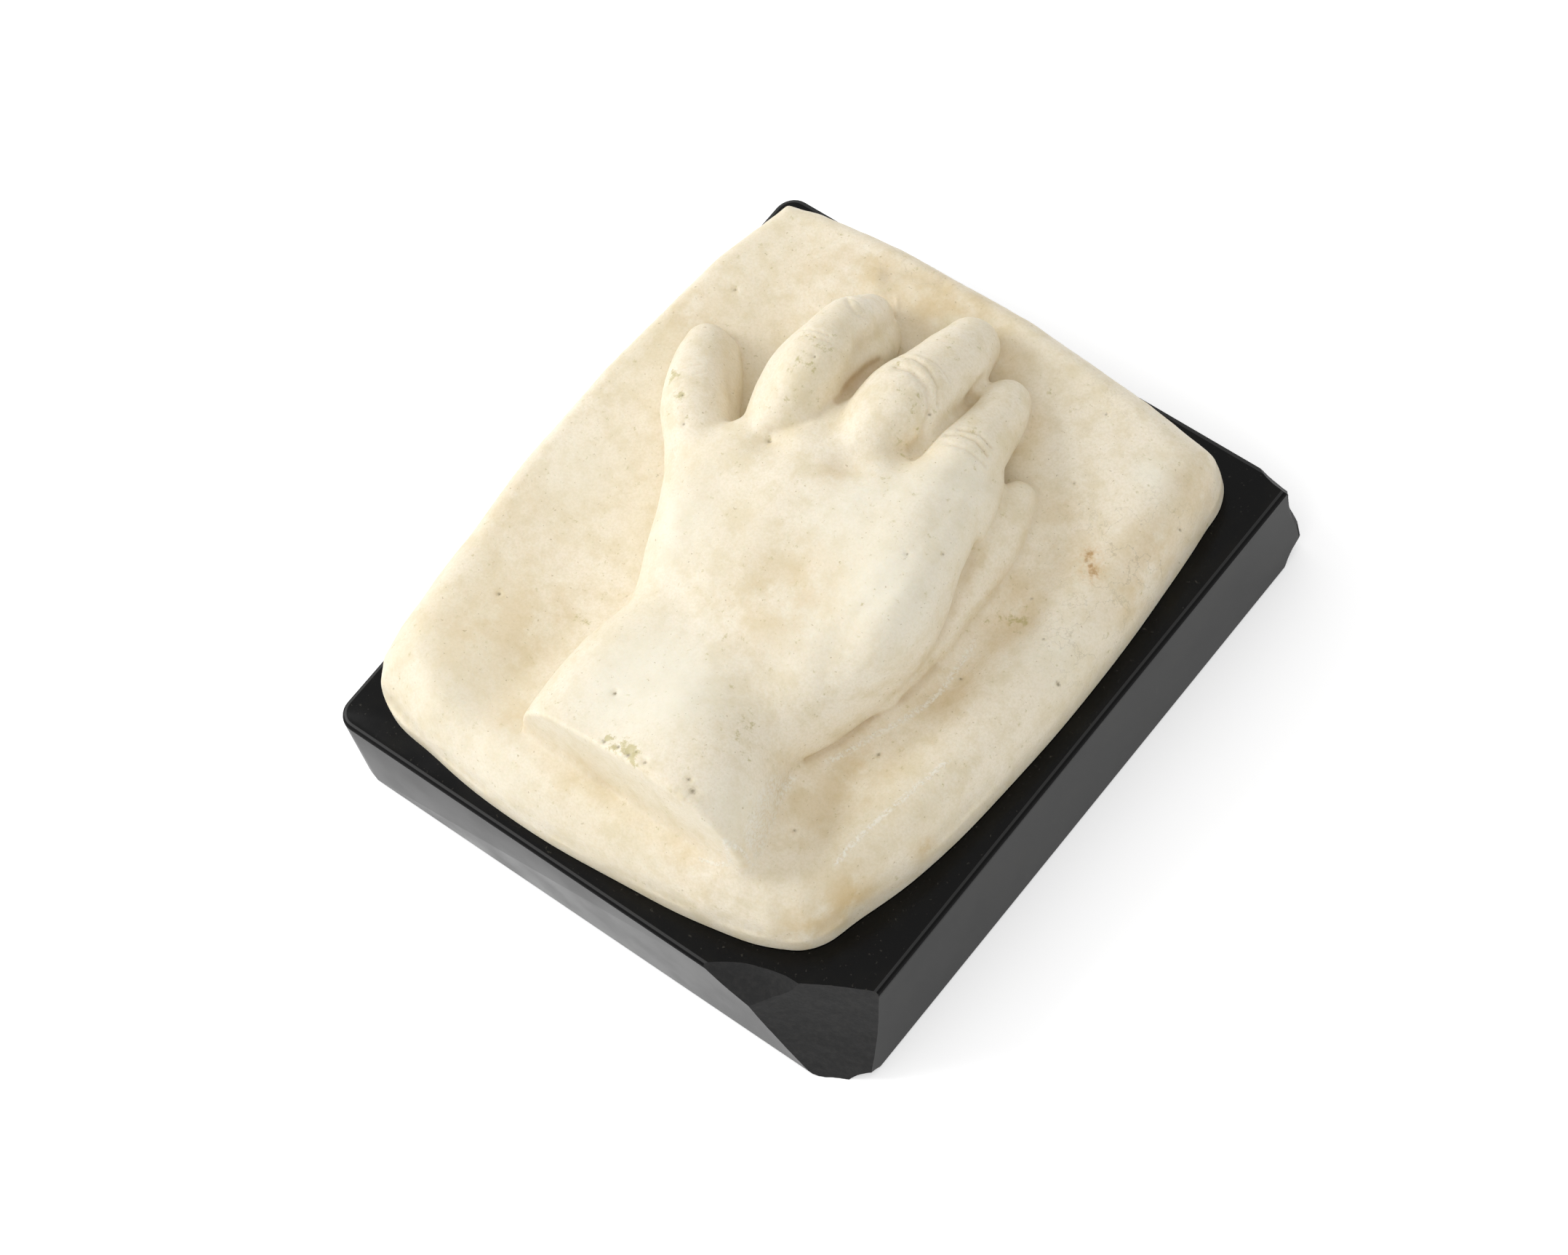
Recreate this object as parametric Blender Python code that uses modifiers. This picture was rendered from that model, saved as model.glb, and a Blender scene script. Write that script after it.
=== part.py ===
"""A small child's hand carved in white marble, lying palm down on a cushion, on a black stone plinth.

The hand and its cushion are one block of marble. The block stands on the plinth on its rim, over a thin
bed of plaster, and two metal dowels key the stones together. Nothing moves.
Frame: origin under the middle of the plinth, +X to the thumb side, +Y to the fingertips, +Z up.
"""

import math

import bmesh
import bpy
from mathutils import Matrix, Vector

MM = 0.001

# Plinth: a sawn slab of black stone with polished faces and eased arrises
PLINTH_WIDTH = 134 * MM
PLINTH_LENGTH = 152 * MM
PLINTH_THICKNESS = 25 * MM
PLINTH_ARRIS = 1.1 * MM
PLINTH_CORNER = 4.5 * MM

# Chips struck off the plinth in mm: a point of the broken face, the way it faces, and its hollow's radius
CHIPS = {
    "near_right": ((57, -69.5, 13), (0.46, -0.82, 0.33), 110),
    "near_right_top": ((43, -72.2, 22.2), (0.28, -0.72, 0.63), 36),
    "near_right_foot": ((65.6, -68.8, 1.0), (0.62, -0.45, -0.64), 14),
    "far_right_top": ((62.5, 75.0, 23.5), (0.22, 0.86, 0.46), 24),
    "far_right_edge": ((65.8, 75.0, 16), (0.74, 0.67, 0.05), 30),
    "far_right_foot": ((65.0, 73.0, 2.0), (0.72, 0.40, -0.56), 16),
    "near_left_foot": ((-64.9, -73.6, 2.5), (-0.66, -0.62, -0.42), 18),
}

# Marble block: the cushion's own thickness, and how its foot is worked
CUSHION_THICKNESS = 15 * MM
CUSHION_CROWN = 1.8 * MM
ROLL_FULLNESS = 2.3            # how squarely a side rolls over into the top
WALL_SHARE = 0.3               # the height of the foot's upright wall, as a share of the cushion's
FOOT_WIDTH = 6 * MM
RECESS_DEPTH = 1.2 * MM
BLANK_ALLOWANCE = 2.5 * MM     # stone left under the foot until it is sawn flat
ROLL_BLEND = 6.0               # mm over which the width of one side's roll turns into the next's

# Joint between the stones
JOINT_GAP = 0.3 * MM
DOWEL_DIAMETER = 6 * MM
DOWEL_LENGTH = 24 * MM
DOWEL_IN_PLINTH = 12 * MM
DOWEL_END_ROOM = 1 * MM
DOWEL_CHAMFER = 0.6 * MM
DOWEL_PLACES = {"front": (6 * MM, -44 * MM), "rear": (2 * MM, 14 * MM)}

# Working resolution of the carving, the passes of rubbing that each skin gets, and the faces the block keeps
PALM_VOXEL, PALM_PASSES = 1.4 * MM, 55
HAND_VOXEL, HAND_PASSES = 0.7 * MM, 5
BLOCK_VOXEL, BLOCK_PASSES = 0.8 * MM, 3
CARVING_FACES = 10500

PLINTH_TOP = PLINTH_THICKNESS
MARBLE_FOOT = PLINTH_TOP + JOINT_GAP
CUSHION_TOP = PLINTH_TOP + CUSHION_THICKNESS
RECESS_TOP = MARBLE_FOOT + RECESS_DEPTH

# Plan of the cushion's foot in mm, with how far in each side rolls over to the top
CUSHION_PLAN = (
    (-62.2, -62.4, 14), (-59.0, -67.2, 12), (-42, -71.2, 8), (-18, -73.0, 9), (8, -71.5, 9), (30, -68.8, 9),
    (44.2, -64.8, 9), (50.6, -60.2, 10), (54.0, -50.6, 11), (58.2, -35.6, 13), (61.1, -8, 13.5),
    (61.6, 20, 13.5), (60.2, 44, 12), (58.9, 56.5, 10), (57.4, 65.2, 8), (53.2, 69.8, 8), (36, 71.4, 7),
    (18, 72.7, 6), (4, 73.3, 5), (-30, 72.6, 5), (-51.5, 71.4, 5), (-60.0, 69.4, 6), (-63.0, 50, 5),
    (-65.8, 14, 5), (-66.0, -12, 5), (-64.6, -38, 8), (-63.4, -53, 12),
)

# Hollows and swells of the cushion's top in mm: x, y, reach along, reach across, turn in degrees, height
CUSHION_SWELLS = (
    (0, 0, 34, 44, 0, -2.6),       # the whole top is pressed down under the hand
    (43, 2, 4, 24, 0, -2.0),       # furrow along the thumb
    (38, -40, 4, 14, 14, -2.0),    # furrow along the cut wrist
    (8, -64, 25, 2.6, 0, 0.8),     # low swell along the foot of the cut face
    (-31, -46, 5, 14, -8, -2.2),   # furrow left of the wrist
    (-42, -22, 11, 15, 0, -2.2),   # broad hollow beside the little finger's side of the hand
    (-36, 38, 8, 10, 30, -2.4),    # hollow between the two last fingers
    (-54, -55, 12, 11, 0, 1.6),    # the near left corner swells a little
    (-62, -69, 7, 7, 0, -3.0),     # the four corners are worn down
    (52, -62, 8, 8, 0, -2.5),
    (58, 70, 9, 9, 0, -3.0),
    (-60, 72, 12, 12, 0, -3.4),
    (44, 52, 8, 8, 0, 1.4),        # soft knob at the far corner
)

# Fingers in mm, palm to tip: x, y, height of the middle over the cushion's top, radius
FINGERS = {
    "little": (
        (-18.8, -0.2, 4.0, 10.0), (-26.1, 4.8, 7.0, 8.6), (-31.6, 9.6, 8.0, 7.3), (-36.3, 14.3, 8.0, 7.5),
        (-40.9, 19.9, 6.2, 6.9), (-44.8, 25.6, 3.8, 6.3), (-47.4, 29.6, 2.0, 5.2),
    ),
    "ring": (
        (-12.3, 3.0, 4.0, 11.0), (-14.2, 11.0, 8.0, 9.5), (-15.6, 18.6, 12.2, 7.8), (-16.1, 25.6, 16.0, 7.0),
        (-16.7, 31.4, 17.8, 7.2), (-18.3, 38.9, 16.0, 6.6), (-19.6, 45.8, 11.8, 6.6), (-20.8, 50.1, 7.2, 5.8),
        (-21.8, 53.0, 4.2, 5.0),
    ),
    "ring_side": (
        (-17.0, 17.0, 10.0, 7.4), (-18.8, 24.0, 13.0, 7.2), (-19.4, 30.0, 14.6, 7.4), (-20.8, 37.5, 12.4, 6.6),
        (-20.9, 44.6, 9.0, 6.6),
    ),
    "ring_inner": (
        (-13.0, 20.0, 9.5, 7.2), (-13.8, 26.0, 10.2, 7.4), (-14.5, 34.0, 10.5, 7.5), (-15.8, 41.0, 8.5, 7.2),
        (-17.4, 46.5, 4.8, 6.6), (-19.3, 50.4, 1.8, 5.8),
    ),
    "middle": (
        (3.1, 12.5, 5.5, 12.0), (2.7, 20.4, 9.3, 10.0), (2.5, 28.4, 13.0, 9.4), (2.6, 36.0, 14.2, 9.4),
        (2.6, 43.7, 11.3, 8.4), (2.0, 51.2, 8.0, 7.9), (0.4, 58.5, 4.2, 6.3),
    ),
    "index": (
        (18.5, 14.3, 6.0, 11.0), (19.0, 23.2, 9.0, 10.0), (18.9, 30.6, 10.3, 8.8), (18.4, 36.5, 9.4, 7.8),
        (17.2, 43.2, 6.7, 6.7), (15.6, 49.4, 4.6, 6.1), (14.6, 52.4, 3.0, 5.2),
    ),
    "thumb": (
        (28.5, -12.0, 0.0, 9.0), (32.4, 0.0, 0.2, 6.2), (33.2, 9, 0.8, 5.2), (33.0, 17, 1.2, 5.0),
        (32.6, 24, 1.4, 5.0), (30.8, 31, 1.2, 4.9), (29.4, 36.2, 0.8, 4.4),
    ),
}

# The web of skin between the ring and middle fingers in mm
FINGER_WEB = ((-7.0, 17.0, 10.5, 9.5), (-7.6, 25.3, 11.2, 6.5))

# The thumb side of the palm in mm: a fuller ridge from the heel to the index knuckle
PALM_EDGE = (
    (22.0, -24.0, 4.0, 8.6), (28.2, -14.5, 10.4, 8.4), (30.6, -3.4, 13.2, 8.0), (28.9, 5.5, 13.6, 7.8),
    (26.6, 14.3, 12.6, 7.8), (23.0, 23.6, 10.8, 8.4),
)

# The back of the hand and the wrist in mm, as rounded lengths laid side by side: x, y, height, radius
BACK_OF_HAND = (
    ((-10.7, -20.3, 3.5, 11.8), (-14.6, -11.6, 4.5, 12.2), (-18.5, -3.1, 5.5, 11.8), (-24.2, 4.4, 6.5, 10.8)),
    ((-3.6, -17.3, 4.5, 13.2), (-6.7, -7.5, 5.0, 13.2), (-11.4, 2.8, 6.0, 12.8), (-16.8, 11.5, 8.0, 11.2)),
    ((2.8, -17.3, 5.0, 13.8), (1.0, -6.5, 5.5, 13.8), (-2.4, 5.0, 7.0, 13.5), (-8.0, 17.5, 9.0, 11.6)),
    ((8.8, -16.6, 5.0, 14.2), (8.0, -5.3, 5.5, 14.2), (5.3, 7.3, 7.2, 13.8), (-0.3, 18.8, 9.5, 11.8)),
    ((14.3, -17.6, 5.0, 14.2), (17.0, -3.4, 6.8, 14.2), (14.0, 8.2, 8.0, 13.6), (7.9, 19.6, 9.5, 11.8)),
    ((19.5, -26.0, 3.0, 13.4), (24.5, -12.0, 6.8, 13.4), (27.0, -2.0, 9.6, 12.4), (24.0, 9.0, 10.8, 11.8),
     (19.5, 22.7, 10.0, 11.4)),
)
WRIST = (
    ((-7.5, -72, 1.0, 14.0), (-9.0, -50, 0.8, 15.2), (-8.5, -36, 0.8, 15.0), (-4.0, -24, 3.0, 12.5)),
    ((0.5, -72, 1.0, 16.0), (-1, -50, 0.6, 16.0), (-2, -36, 1.0, 15.5), (0.0, -24, 3.5, 13.0)),
    ((8.5, -72, 1.6, 17.0), (7.0, -50, 1.2, 17.0), (4.0, -36, 1.2, 16.0), (5.0, -24, 3.5, 13.5)),
    ((16.0, -72, 2.9, 17.4), (13.0, -50, 2.6, 17.5), (9.0, -36, 2, 16.2), (9, -24, 4.0, 13.5)),
    ((21.4, -72, 3.0, 16.8), (18.0, -54, 3.2, 17.0), (11.5, -38, 2, 16.2), (13, -24, 4.0, 13.5)),
)

# Dimples over the knuckles and hollows in the skin in mm: x, y, reach along, reach across, turn, depth
HAND_HOLLOWS = (
    (-28.5, 1.0, 3.5, 2.5, 45, -1.4),
    (-14.0, 13.0, 4, 2.5, 25, -1.8),
    (4.3, 17.4, 3.8, 2.8, 10, -2.0),
    (12.5, 25.5, 3, 4, 0, -2.0),
    (18, -28, 6, 5, 20, -1.0),
    (31, -17, 4, 4, 0, -1.4),
    (11.0, -8.0, 7, 9, -35, -1.0),
    (-2.0, -20.0, 8, 6, 0, -0.6),
)
CUT_FACE = -60.3 * MM      # where the forearm is sawn off, at the cushion's level
CUT_LEAN = 5.0             # degrees the sawn face leans back


def clear_scene():
    for obj in list(bpy.data.objects):
        bpy.data.objects.remove(obj, do_unlink=True)


def new_collection(name):
    collection = bpy.data.collections.new(name)
    bpy.context.scene.collection.children.link(collection)
    return collection


def material(name, colour, roughness, metallic=0.0):
    made = bpy.data.materials.new(name)
    made.use_nodes = True
    shader = made.node_tree.nodes["Principled BSDF"]
    shader.inputs["Base Color"].default_value = (*colour, 1.0)
    shader.inputs["Roughness"].default_value = roughness
    shader.inputs["Metallic"].default_value = metallic
    made.diffuse_color = (*colour, 1.0)
    return made


def baked(obj, name):
    """A plain mesh object of what obj evaluates to, in world space; obj is removed."""
    bpy.context.view_layer.update()
    graph = bpy.context.evaluated_depsgraph_get()
    mesh = bpy.data.meshes.new_from_object(obj.evaluated_get(graph))
    mesh.transform(obj.matrix_world)
    collection = obj.users_collection[0]
    bpy.data.objects.remove(obj, do_unlink=True)
    made = bpy.data.objects.new(name, mesh)
    collection.objects.link(made)
    return made


def welded(obj):
    """Joins a curve's loose caps to its sides."""
    shape = bmesh.new()
    shape.from_mesh(obj.data)
    bmesh.ops.remove_doubles(shape, verts=shape.verts, dist=0.01 * MM)
    bmesh.ops.recalc_face_normals(shape, faces=shape.faces)
    shape.to_mesh(obj.data)
    shape.free()
    return obj


def limb(name, stations, collection):
    """A rounded length of flesh through stations of place, height and radius, with a round end."""
    curve = bpy.data.curves.new(name, "CURVE")
    curve.dimensions = "3D"
    curve.bevel_depth = MM
    curve.bevel_resolution = 6
    curve.resolution_u = 8
    curve.use_fill_caps = True
    spline = curve.splines.new("BEZIER")
    spline.bezier_points.add(len(stations) - 1)
    for point, (x, y, height, radius) in zip(spline.bezier_points, stations):
        point.co = (x * MM, y * MM, CUSHION_TOP + height * MM)
        point.radius = radius
        point.handle_left_type = point.handle_right_type = "AUTO"
    obj = bpy.data.objects.new(name, curve)
    collection.objects.link(obj)
    obj = welded(baked(obj, name))
    shape = bmesh.new()
    shape.from_mesh(obj.data)
    for x, y, height, radius in (stations[0], stations[-1]):
        place = Matrix.Translation((x * MM, y * MM, CUSHION_TOP + height * MM))
        bmesh.ops.create_uvsphere(shape, u_segments=24, v_segments=14, radius=radius * MM, matrix=place)
    shape.to_mesh(obj.data)
    shape.free()
    return obj


def clay(name, parts, voxel, passes):
    """Merges closed, overlapping parts into one skin and rubs it smooth."""
    shape = bmesh.new()
    for part in parts:
        shape.from_mesh(part.data)
    mesh = bpy.data.meshes.new(name)
    shape.to_mesh(mesh)
    shape.free()
    obj = bpy.data.objects.new(name, mesh)
    parts[0].users_collection[0].objects.link(obj)
    for part in parts:
        bpy.data.objects.remove(part, do_unlink=True)
    skin = obj.modifiers.new("skin", "REMESH")
    skin.mode = "VOXEL"
    skin.voxel_size = voxel
    rub = obj.modifiers.new("rub", "SMOOTH")
    rub.factor = 0.5
    rub.iterations = passes
    return baked(obj, name)


def outline_curve(name, inset, low, high, collection):
    """The cushion's plan, drawn in to end inset short of each side, as a solid slab from low to high."""
    draw_in_x = 1 - inset / (max(abs(x) for x, _, _ in CUSHION_PLAN) * MM)
    draw_in_y = 1 - inset / (max(abs(y) for _, y, _ in CUSHION_PLAN) * MM)
    curve = bpy.data.curves.new(name, "CURVE")
    curve.dimensions = "2D"
    curve.fill_mode = "BOTH"
    curve.extrude = (high - low) / 2
    curve.resolution_u = 4
    spline = curve.splines.new("BEZIER")
    spline.use_cyclic_u = True
    spline.bezier_points.add(len(CUSHION_PLAN) - 1)
    for point, (x, y, _) in zip(spline.bezier_points, CUSHION_PLAN):
        point.co = (x * MM * draw_in_x, y * MM * draw_in_y, 0)
        point.handle_left_type = point.handle_right_type = "AUTO"
    obj = bpy.data.objects.new(name, curve)
    obj.location.z = (low + high) / 2
    collection.objects.link(obj)
    return welded(baked(obj, name))


def roll_profile(x, y):
    """The height of the cushion's rolled side at x, y, as a share of its top's."""
    within, weights, widths = math.inf, 0.0, 0.0
    for (px, py, roll), (qx, qy, _) in zip(CUSHION_PLAN, CUSHION_PLAN[1:] + CUSHION_PLAN[:1]):
        across, up = x / MM - px, y / MM - py
        within = min(within, ((qx - px) * up - (qy - py) * across) / math.hypot(qx - px, qy - py))
        weight = math.exp(-math.hypot(across, up) / ROLL_BLEND)
        weights += weight
        widths += weight * roll
    share = min(1.0, max(0.0, within * weights / widths))
    return WALL_SHARE + (1 - WALL_SHARE) * (1 - (1 - share) ** ROLL_FULLNESS) ** (1 / ROLL_FULLNESS)


def swell(x, y, bumps):
    """Height in metres that a table of hollows and swells gives at x, y."""
    total = 0.0
    for px, py, along, across, turn, height in bumps:
        dx, dy = x / MM - px, y / MM - py
        c, s = math.cos(math.radians(turn)), math.sin(math.radians(turn))
        u, v = (dx * c + dy * s) / along, (dy * c - dx * s) / across
        total += height * math.exp(-(u * u + v * v) / 2)
    return total * MM


def cushion(collection):
    """The cushion: a slab on the plan, its sides rolled over into the top like a filled pillow's."""
    low, high = MARBLE_FOOT - BLANK_ALLOWANCE, CUSHION_TOP + CUSHION_CROWN
    obj = clay("cushion", [outline_curve("cushion", 0, low, high, collection)], HAND_VOXEL, 0)
    for vertex in obj.data.vertices:
        x, y, z = vertex.co
        if z > MARBLE_FOOT:
            height = high - MARBLE_FOOT + swell(x, y, CUSHION_SWELLS)
            vertex.co.z = MARBLE_FOOT + (z - MARBLE_FOOT) / (high - MARBLE_FOOT) * roll_profile(x, y) * height
    return obj


def hand(collection):
    palm_parts = [limb(f"palm_{i}", stations, collection) for i, stations in enumerate(BACK_OF_HAND)]
    palm_parts += [limb(f"wrist_{i}", stations, collection) for i, stations in enumerate(WRIST)]
    palm = clay("palm", palm_parts, PALM_VOXEL, PALM_PASSES)
    lengths = {**FINGERS, "finger_web": FINGER_WEB, "palm_edge": PALM_EDGE}
    made = clay("hand", [palm, *(limb(name, stations, collection) for name, stations in lengths.items())],
                HAND_VOXEL, HAND_PASSES)
    shape = bmesh.new()
    shape.from_mesh(made.data)
    tilt = math.radians(CUT_LEAN)
    plane = Vector((0, -math.cos(tilt), math.sin(tilt)))
    found = bmesh.ops.bisect_plane(
        shape, geom=[*shape.verts, *shape.edges, *shape.faces], dist=0.001 * MM,
        plane_co=(0, CUT_FACE, CUSHION_TOP), plane_no=plane, clear_outer=True,
    )
    rim = [e for e in found["geom_cut"] if isinstance(e, bmesh.types.BMEdge)]
    bmesh.ops.holes_fill(shape, edges=rim)
    for vertex in shape.verts:
        x, y, z = vertex.co
        share = min(1.0, max(0.0, (z - CUSHION_TOP) / (8 * MM)))
        vertex.co.z = z + share * swell(x, y, HAND_HOLLOWS)
    shape.to_mesh(made.data)
    shape.free()
    return made


def cut_flat(obj, height):
    """Saws off all that lies under height, and closes the flat foot."""
    shape = bmesh.new()
    shape.from_mesh(obj.data)
    found = bmesh.ops.bisect_plane(
        shape, geom=[*shape.verts, *shape.edges, *shape.faces], dist=0.001 * MM,
        plane_co=(0, 0, height), plane_no=(0, 0, -1), clear_outer=True,
    )
    rim = [e for e in found["geom_cut"] if isinstance(e, bmesh.types.BMEdge)]
    bmesh.ops.holes_fill(shape, edges=rim)
    bmesh.ops.recalc_face_normals(shape, faces=shape.faces)
    shape.to_mesh(obj.data)
    shape.free()


def cut_with(obj, cutter):
    cut = obj.modifiers.new(cutter.name, "BOOLEAN")
    cut.operation = "DIFFERENCE"
    cut.solver = "EXACT"
    cut.object = cutter
    cutter.hide_render = True
    cutter.display_type = "WIRE"


def bore(name, place, low, high, cutters):
    """Cutter for a dowel's hole from low to high."""
    shape = bmesh.new()
    radius = DOWEL_DIAMETER / 2 + JOINT_GAP
    matrix = Matrix.Translation((*place, (low + high) / 2))
    bmesh.ops.create_cone(
        shape, cap_ends=True, segments=32, radius1=radius, radius2=radius, depth=high - low, matrix=matrix
    )
    mesh = bpy.data.meshes.new(name)
    shape.to_mesh(mesh)
    shape.free()
    obj = bpy.data.objects.new(name, mesh)
    cutters.objects.link(obj)
    return obj


def marble_carving(parts, cutters, finish):
    block = clay("marble_carving", [cushion(parts), hand(parts)], BLOCK_VOXEL, BLOCK_PASSES)
    thin = block.modifiers.new("thin", "DECIMATE")
    thin.ratio = CARVING_FACES / (2 * len(block.data.polygons))
    block = baked(block, "marble_carving")
    cut_flat(block, MARBLE_FOOT)
    recess = outline_curve("foot_recess", FOOT_WIDTH, MARBLE_FOOT - RECESS_DEPTH, RECESS_TOP, cutters)
    cut_with(block, recess)
    for name, place in DOWEL_PLACES.items():
        top = PLINTH_TOP - DOWEL_IN_PLINTH + DOWEL_LENGTH + DOWEL_END_ROOM
        cut_with(block, bore(f"marble_bore_{name}", place, MARBLE_FOOT, top, cutters))
    block.data.materials.append(finish)
    block.data.shade_smooth()
    block.data.set_sharp_from_angle(angle=math.radians(45))
    return block


def flake(name, point, normal, radius, cutters):
    """Cutter that strikes a shell-shaped chip: a big ball whose skin passes through point."""
    shape = bmesh.new()
    centre = Vector(point) * MM + Vector(normal).normalized() * radius * MM
    matrix = Matrix.Translation(centre)
    bmesh.ops.create_icosphere(shape, subdivisions=4, radius=radius * MM, matrix=matrix)
    mesh = bpy.data.meshes.new(name)
    shape.to_mesh(mesh)
    shape.free()
    obj = bpy.data.objects.new(name, mesh)
    cutters.objects.link(obj)
    return obj


def plinth(parts, cutters, finish):
    shape = bmesh.new()
    bmesh.ops.create_cube(shape, size=1)
    bmesh.ops.scale(shape, vec=(PLINTH_WIDTH, PLINTH_LENGTH, PLINTH_THICKNESS), verts=shape.verts)
    bmesh.ops.translate(shape, vec=(0, 0, PLINTH_THICKNESS / 2), verts=shape.verts)
    mesh = bpy.data.meshes.new("plinth")
    shape.to_mesh(mesh)
    shape.free()
    obj = bpy.data.objects.new("plinth", mesh)
    parts.objects.link(obj)
    edge_weight = mesh.attributes.new("bevel_weight_edge", "FLOAT", "EDGE")
    for edge in mesh.edges:
        ends = [mesh.vertices[i].co for i in edge.vertices]
        if abs(ends[0].z - ends[1].z) > MM and ends[0].x < 0:
            edge_weight.data[edge.index].value = 1.0
    corner = obj.modifiers.new("corner", "BEVEL")
    corner.width = PLINTH_CORNER
    corner.segments = 5
    corner.limit_method = "WEIGHT"
    arris = obj.modifiers.new("arris", "BEVEL")
    arris.width = PLINTH_ARRIS
    arris.segments = 3
    arris.limit_method = "ANGLE"
    arris.angle_limit = math.radians(40)
    for name, place in DOWEL_PLACES.items():
        low = PLINTH_TOP - DOWEL_IN_PLINTH - DOWEL_END_ROOM
        cut_with(obj, bore(f"plinth_bore_{name}", place, low, PLINTH_TOP + DOWEL_END_ROOM, cutters))
    for name, (point, normal, radius) in CHIPS.items():
        cut_with(obj, flake(f"chip_{name}", point, normal, radius, cutters))
    obj.data.materials.append(finish)
    return obj


def plaster_bed(parts, cutters, finish):
    low, high = MARBLE_FOOT, RECESS_TOP - JOINT_GAP
    obj = outline_curve("plaster_bed", FOOT_WIDTH + JOINT_GAP, low, high, parts)
    for name, place in DOWEL_PLACES.items():
        cut_with(obj, bore(f"bed_bore_{name}", place, low - JOINT_GAP, high + JOINT_GAP, cutters))
    obj.data.materials.append(finish)
    return obj


def dowel(name, place, parts, finish):
    shape = bmesh.new()
    bmesh.ops.create_cone(
        shape, cap_ends=True, segments=32, radius1=DOWEL_DIAMETER / 2, radius2=DOWEL_DIAMETER / 2,
        depth=DOWEL_LENGTH,
    )
    mesh = bpy.data.meshes.new(name)
    shape.to_mesh(mesh)
    shape.free()
    obj = bpy.data.objects.new(name, mesh)
    obj.location = (*place, PLINTH_TOP - DOWEL_IN_PLINTH + DOWEL_LENGTH / 2)
    parts.objects.link(obj)
    ease = obj.modifiers.new("ease", "BEVEL")
    ease.width = DOWEL_CHAMFER
    ease.segments = 1
    obj.data.materials.append(finish)
    return obj


def main():
    clear_scene()
    parts = new_collection("marble_hand")
    cutters = new_collection("cutters")
    marble = material("white_marble", (0.78, 0.70, 0.56), 0.45)
    black_stone = material("black_stone", (0.02, 0.02, 0.02), 0.3)
    plaster = material("plaster", (0.72, 0.70, 0.66), 0.9)
    brass = material("dowel_brass", (0.70, 0.52, 0.24), 0.35, 1.0)
    plinth(parts, cutters, black_stone)
    plaster_bed(parts, cutters, plaster)
    marble_carving(parts, cutters, marble)
    for name, place in DOWEL_PLACES.items():
        dowel(f"dowel_{name}", place, parts, brass)


main()
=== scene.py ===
"""Looks of a child's hand carved in white marble, lying on its cushion, on a chipped black stone plinth."""

import math

import bmesh
import bpy
import numpy as np
from mathutils import Matrix, Vector
from mathutils.bvhtree import BVHTree
from mathutils.noise import fractal


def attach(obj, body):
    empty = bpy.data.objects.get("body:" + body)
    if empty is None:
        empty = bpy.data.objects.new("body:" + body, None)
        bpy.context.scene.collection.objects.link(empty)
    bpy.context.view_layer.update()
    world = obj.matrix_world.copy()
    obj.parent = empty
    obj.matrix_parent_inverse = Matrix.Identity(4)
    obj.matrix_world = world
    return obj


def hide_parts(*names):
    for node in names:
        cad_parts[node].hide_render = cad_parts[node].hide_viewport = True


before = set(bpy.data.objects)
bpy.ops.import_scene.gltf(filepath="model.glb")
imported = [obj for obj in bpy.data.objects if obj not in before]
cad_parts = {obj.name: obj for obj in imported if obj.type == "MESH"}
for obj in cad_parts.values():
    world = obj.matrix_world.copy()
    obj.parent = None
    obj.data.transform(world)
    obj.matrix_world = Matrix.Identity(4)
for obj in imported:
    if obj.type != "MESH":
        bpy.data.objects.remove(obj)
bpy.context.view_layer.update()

MM = 0.001

# Plinth in mm. EVEN is the difference within which two heights or places are the same
PLINTH_WIDTH = 134.0
PLINTH_LENGTH = 152.0
PLINTH_THICKNESS = 25.0
PLINTH_ARRIS = 1.1
PLINTH_CORNER = 4.5
EVEN = 0.1

# Chips struck off the plinth in mm: a point of the broken face, the way it faces, its radius and its reach
CHIPS = (
    ((57, -69.5, 13), (0.46, -0.82, 0.33), 110, 34),
    ((43, -72.2, 22.2), (0.28, -0.72, 0.63), 36, 22),
    ((65.6, -68.8, 1.0), (0.62, -0.45, -0.64), 14, 11),
    ((62.5, 75.0, 23.5), (0.22, 0.86, 0.46), 24, 16),
    ((65.8, 75.0, 16), (0.74, 0.67, 0.05), 30, 18),
    ((65.0, 73.0, 2.0), (0.72, 0.40, -0.56), 16, 11),
    ((-64.9, -73.6, 2.5), (-0.66, -0.62, -0.42), 18, 11),
)
CHIP_CELLS = 70                # cells of a broken face along its reach

# Surface of a broken face in mm: ripples round the blow, which widen away from it, and the stone's grit
RIPPLE_HEIGHT = 0.16
RIPPLE_SPACING = 5.0
RIPPLE_WIDENING = 0.12         # as a share of the distance from the blow
RIPPLE_PATCH = 9.0             # size of the patches in which the ripples are stronger or weaker
GRIT_SIZE = 2.2
BLOW = (0.2, 1.0)              # where the blow fell, as shares of the broken face's reach

# The plinth's finishes by their number on it, where polished is 0, and the least upward slope of an arris
# face that is rubbed and gets the painted highlight grey; steeper arris faces get painted shade
RUBBED_HIGHLIGHT, BROKEN, SHADED_ARRIS = 1, 2, 3
HIGHLIGHT_SLOPE = 0.85

# Degrees from which an edge between two faces stays sharp to the eye
MARBLE_SHARP = 50
STONE_SHARP = 35

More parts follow.
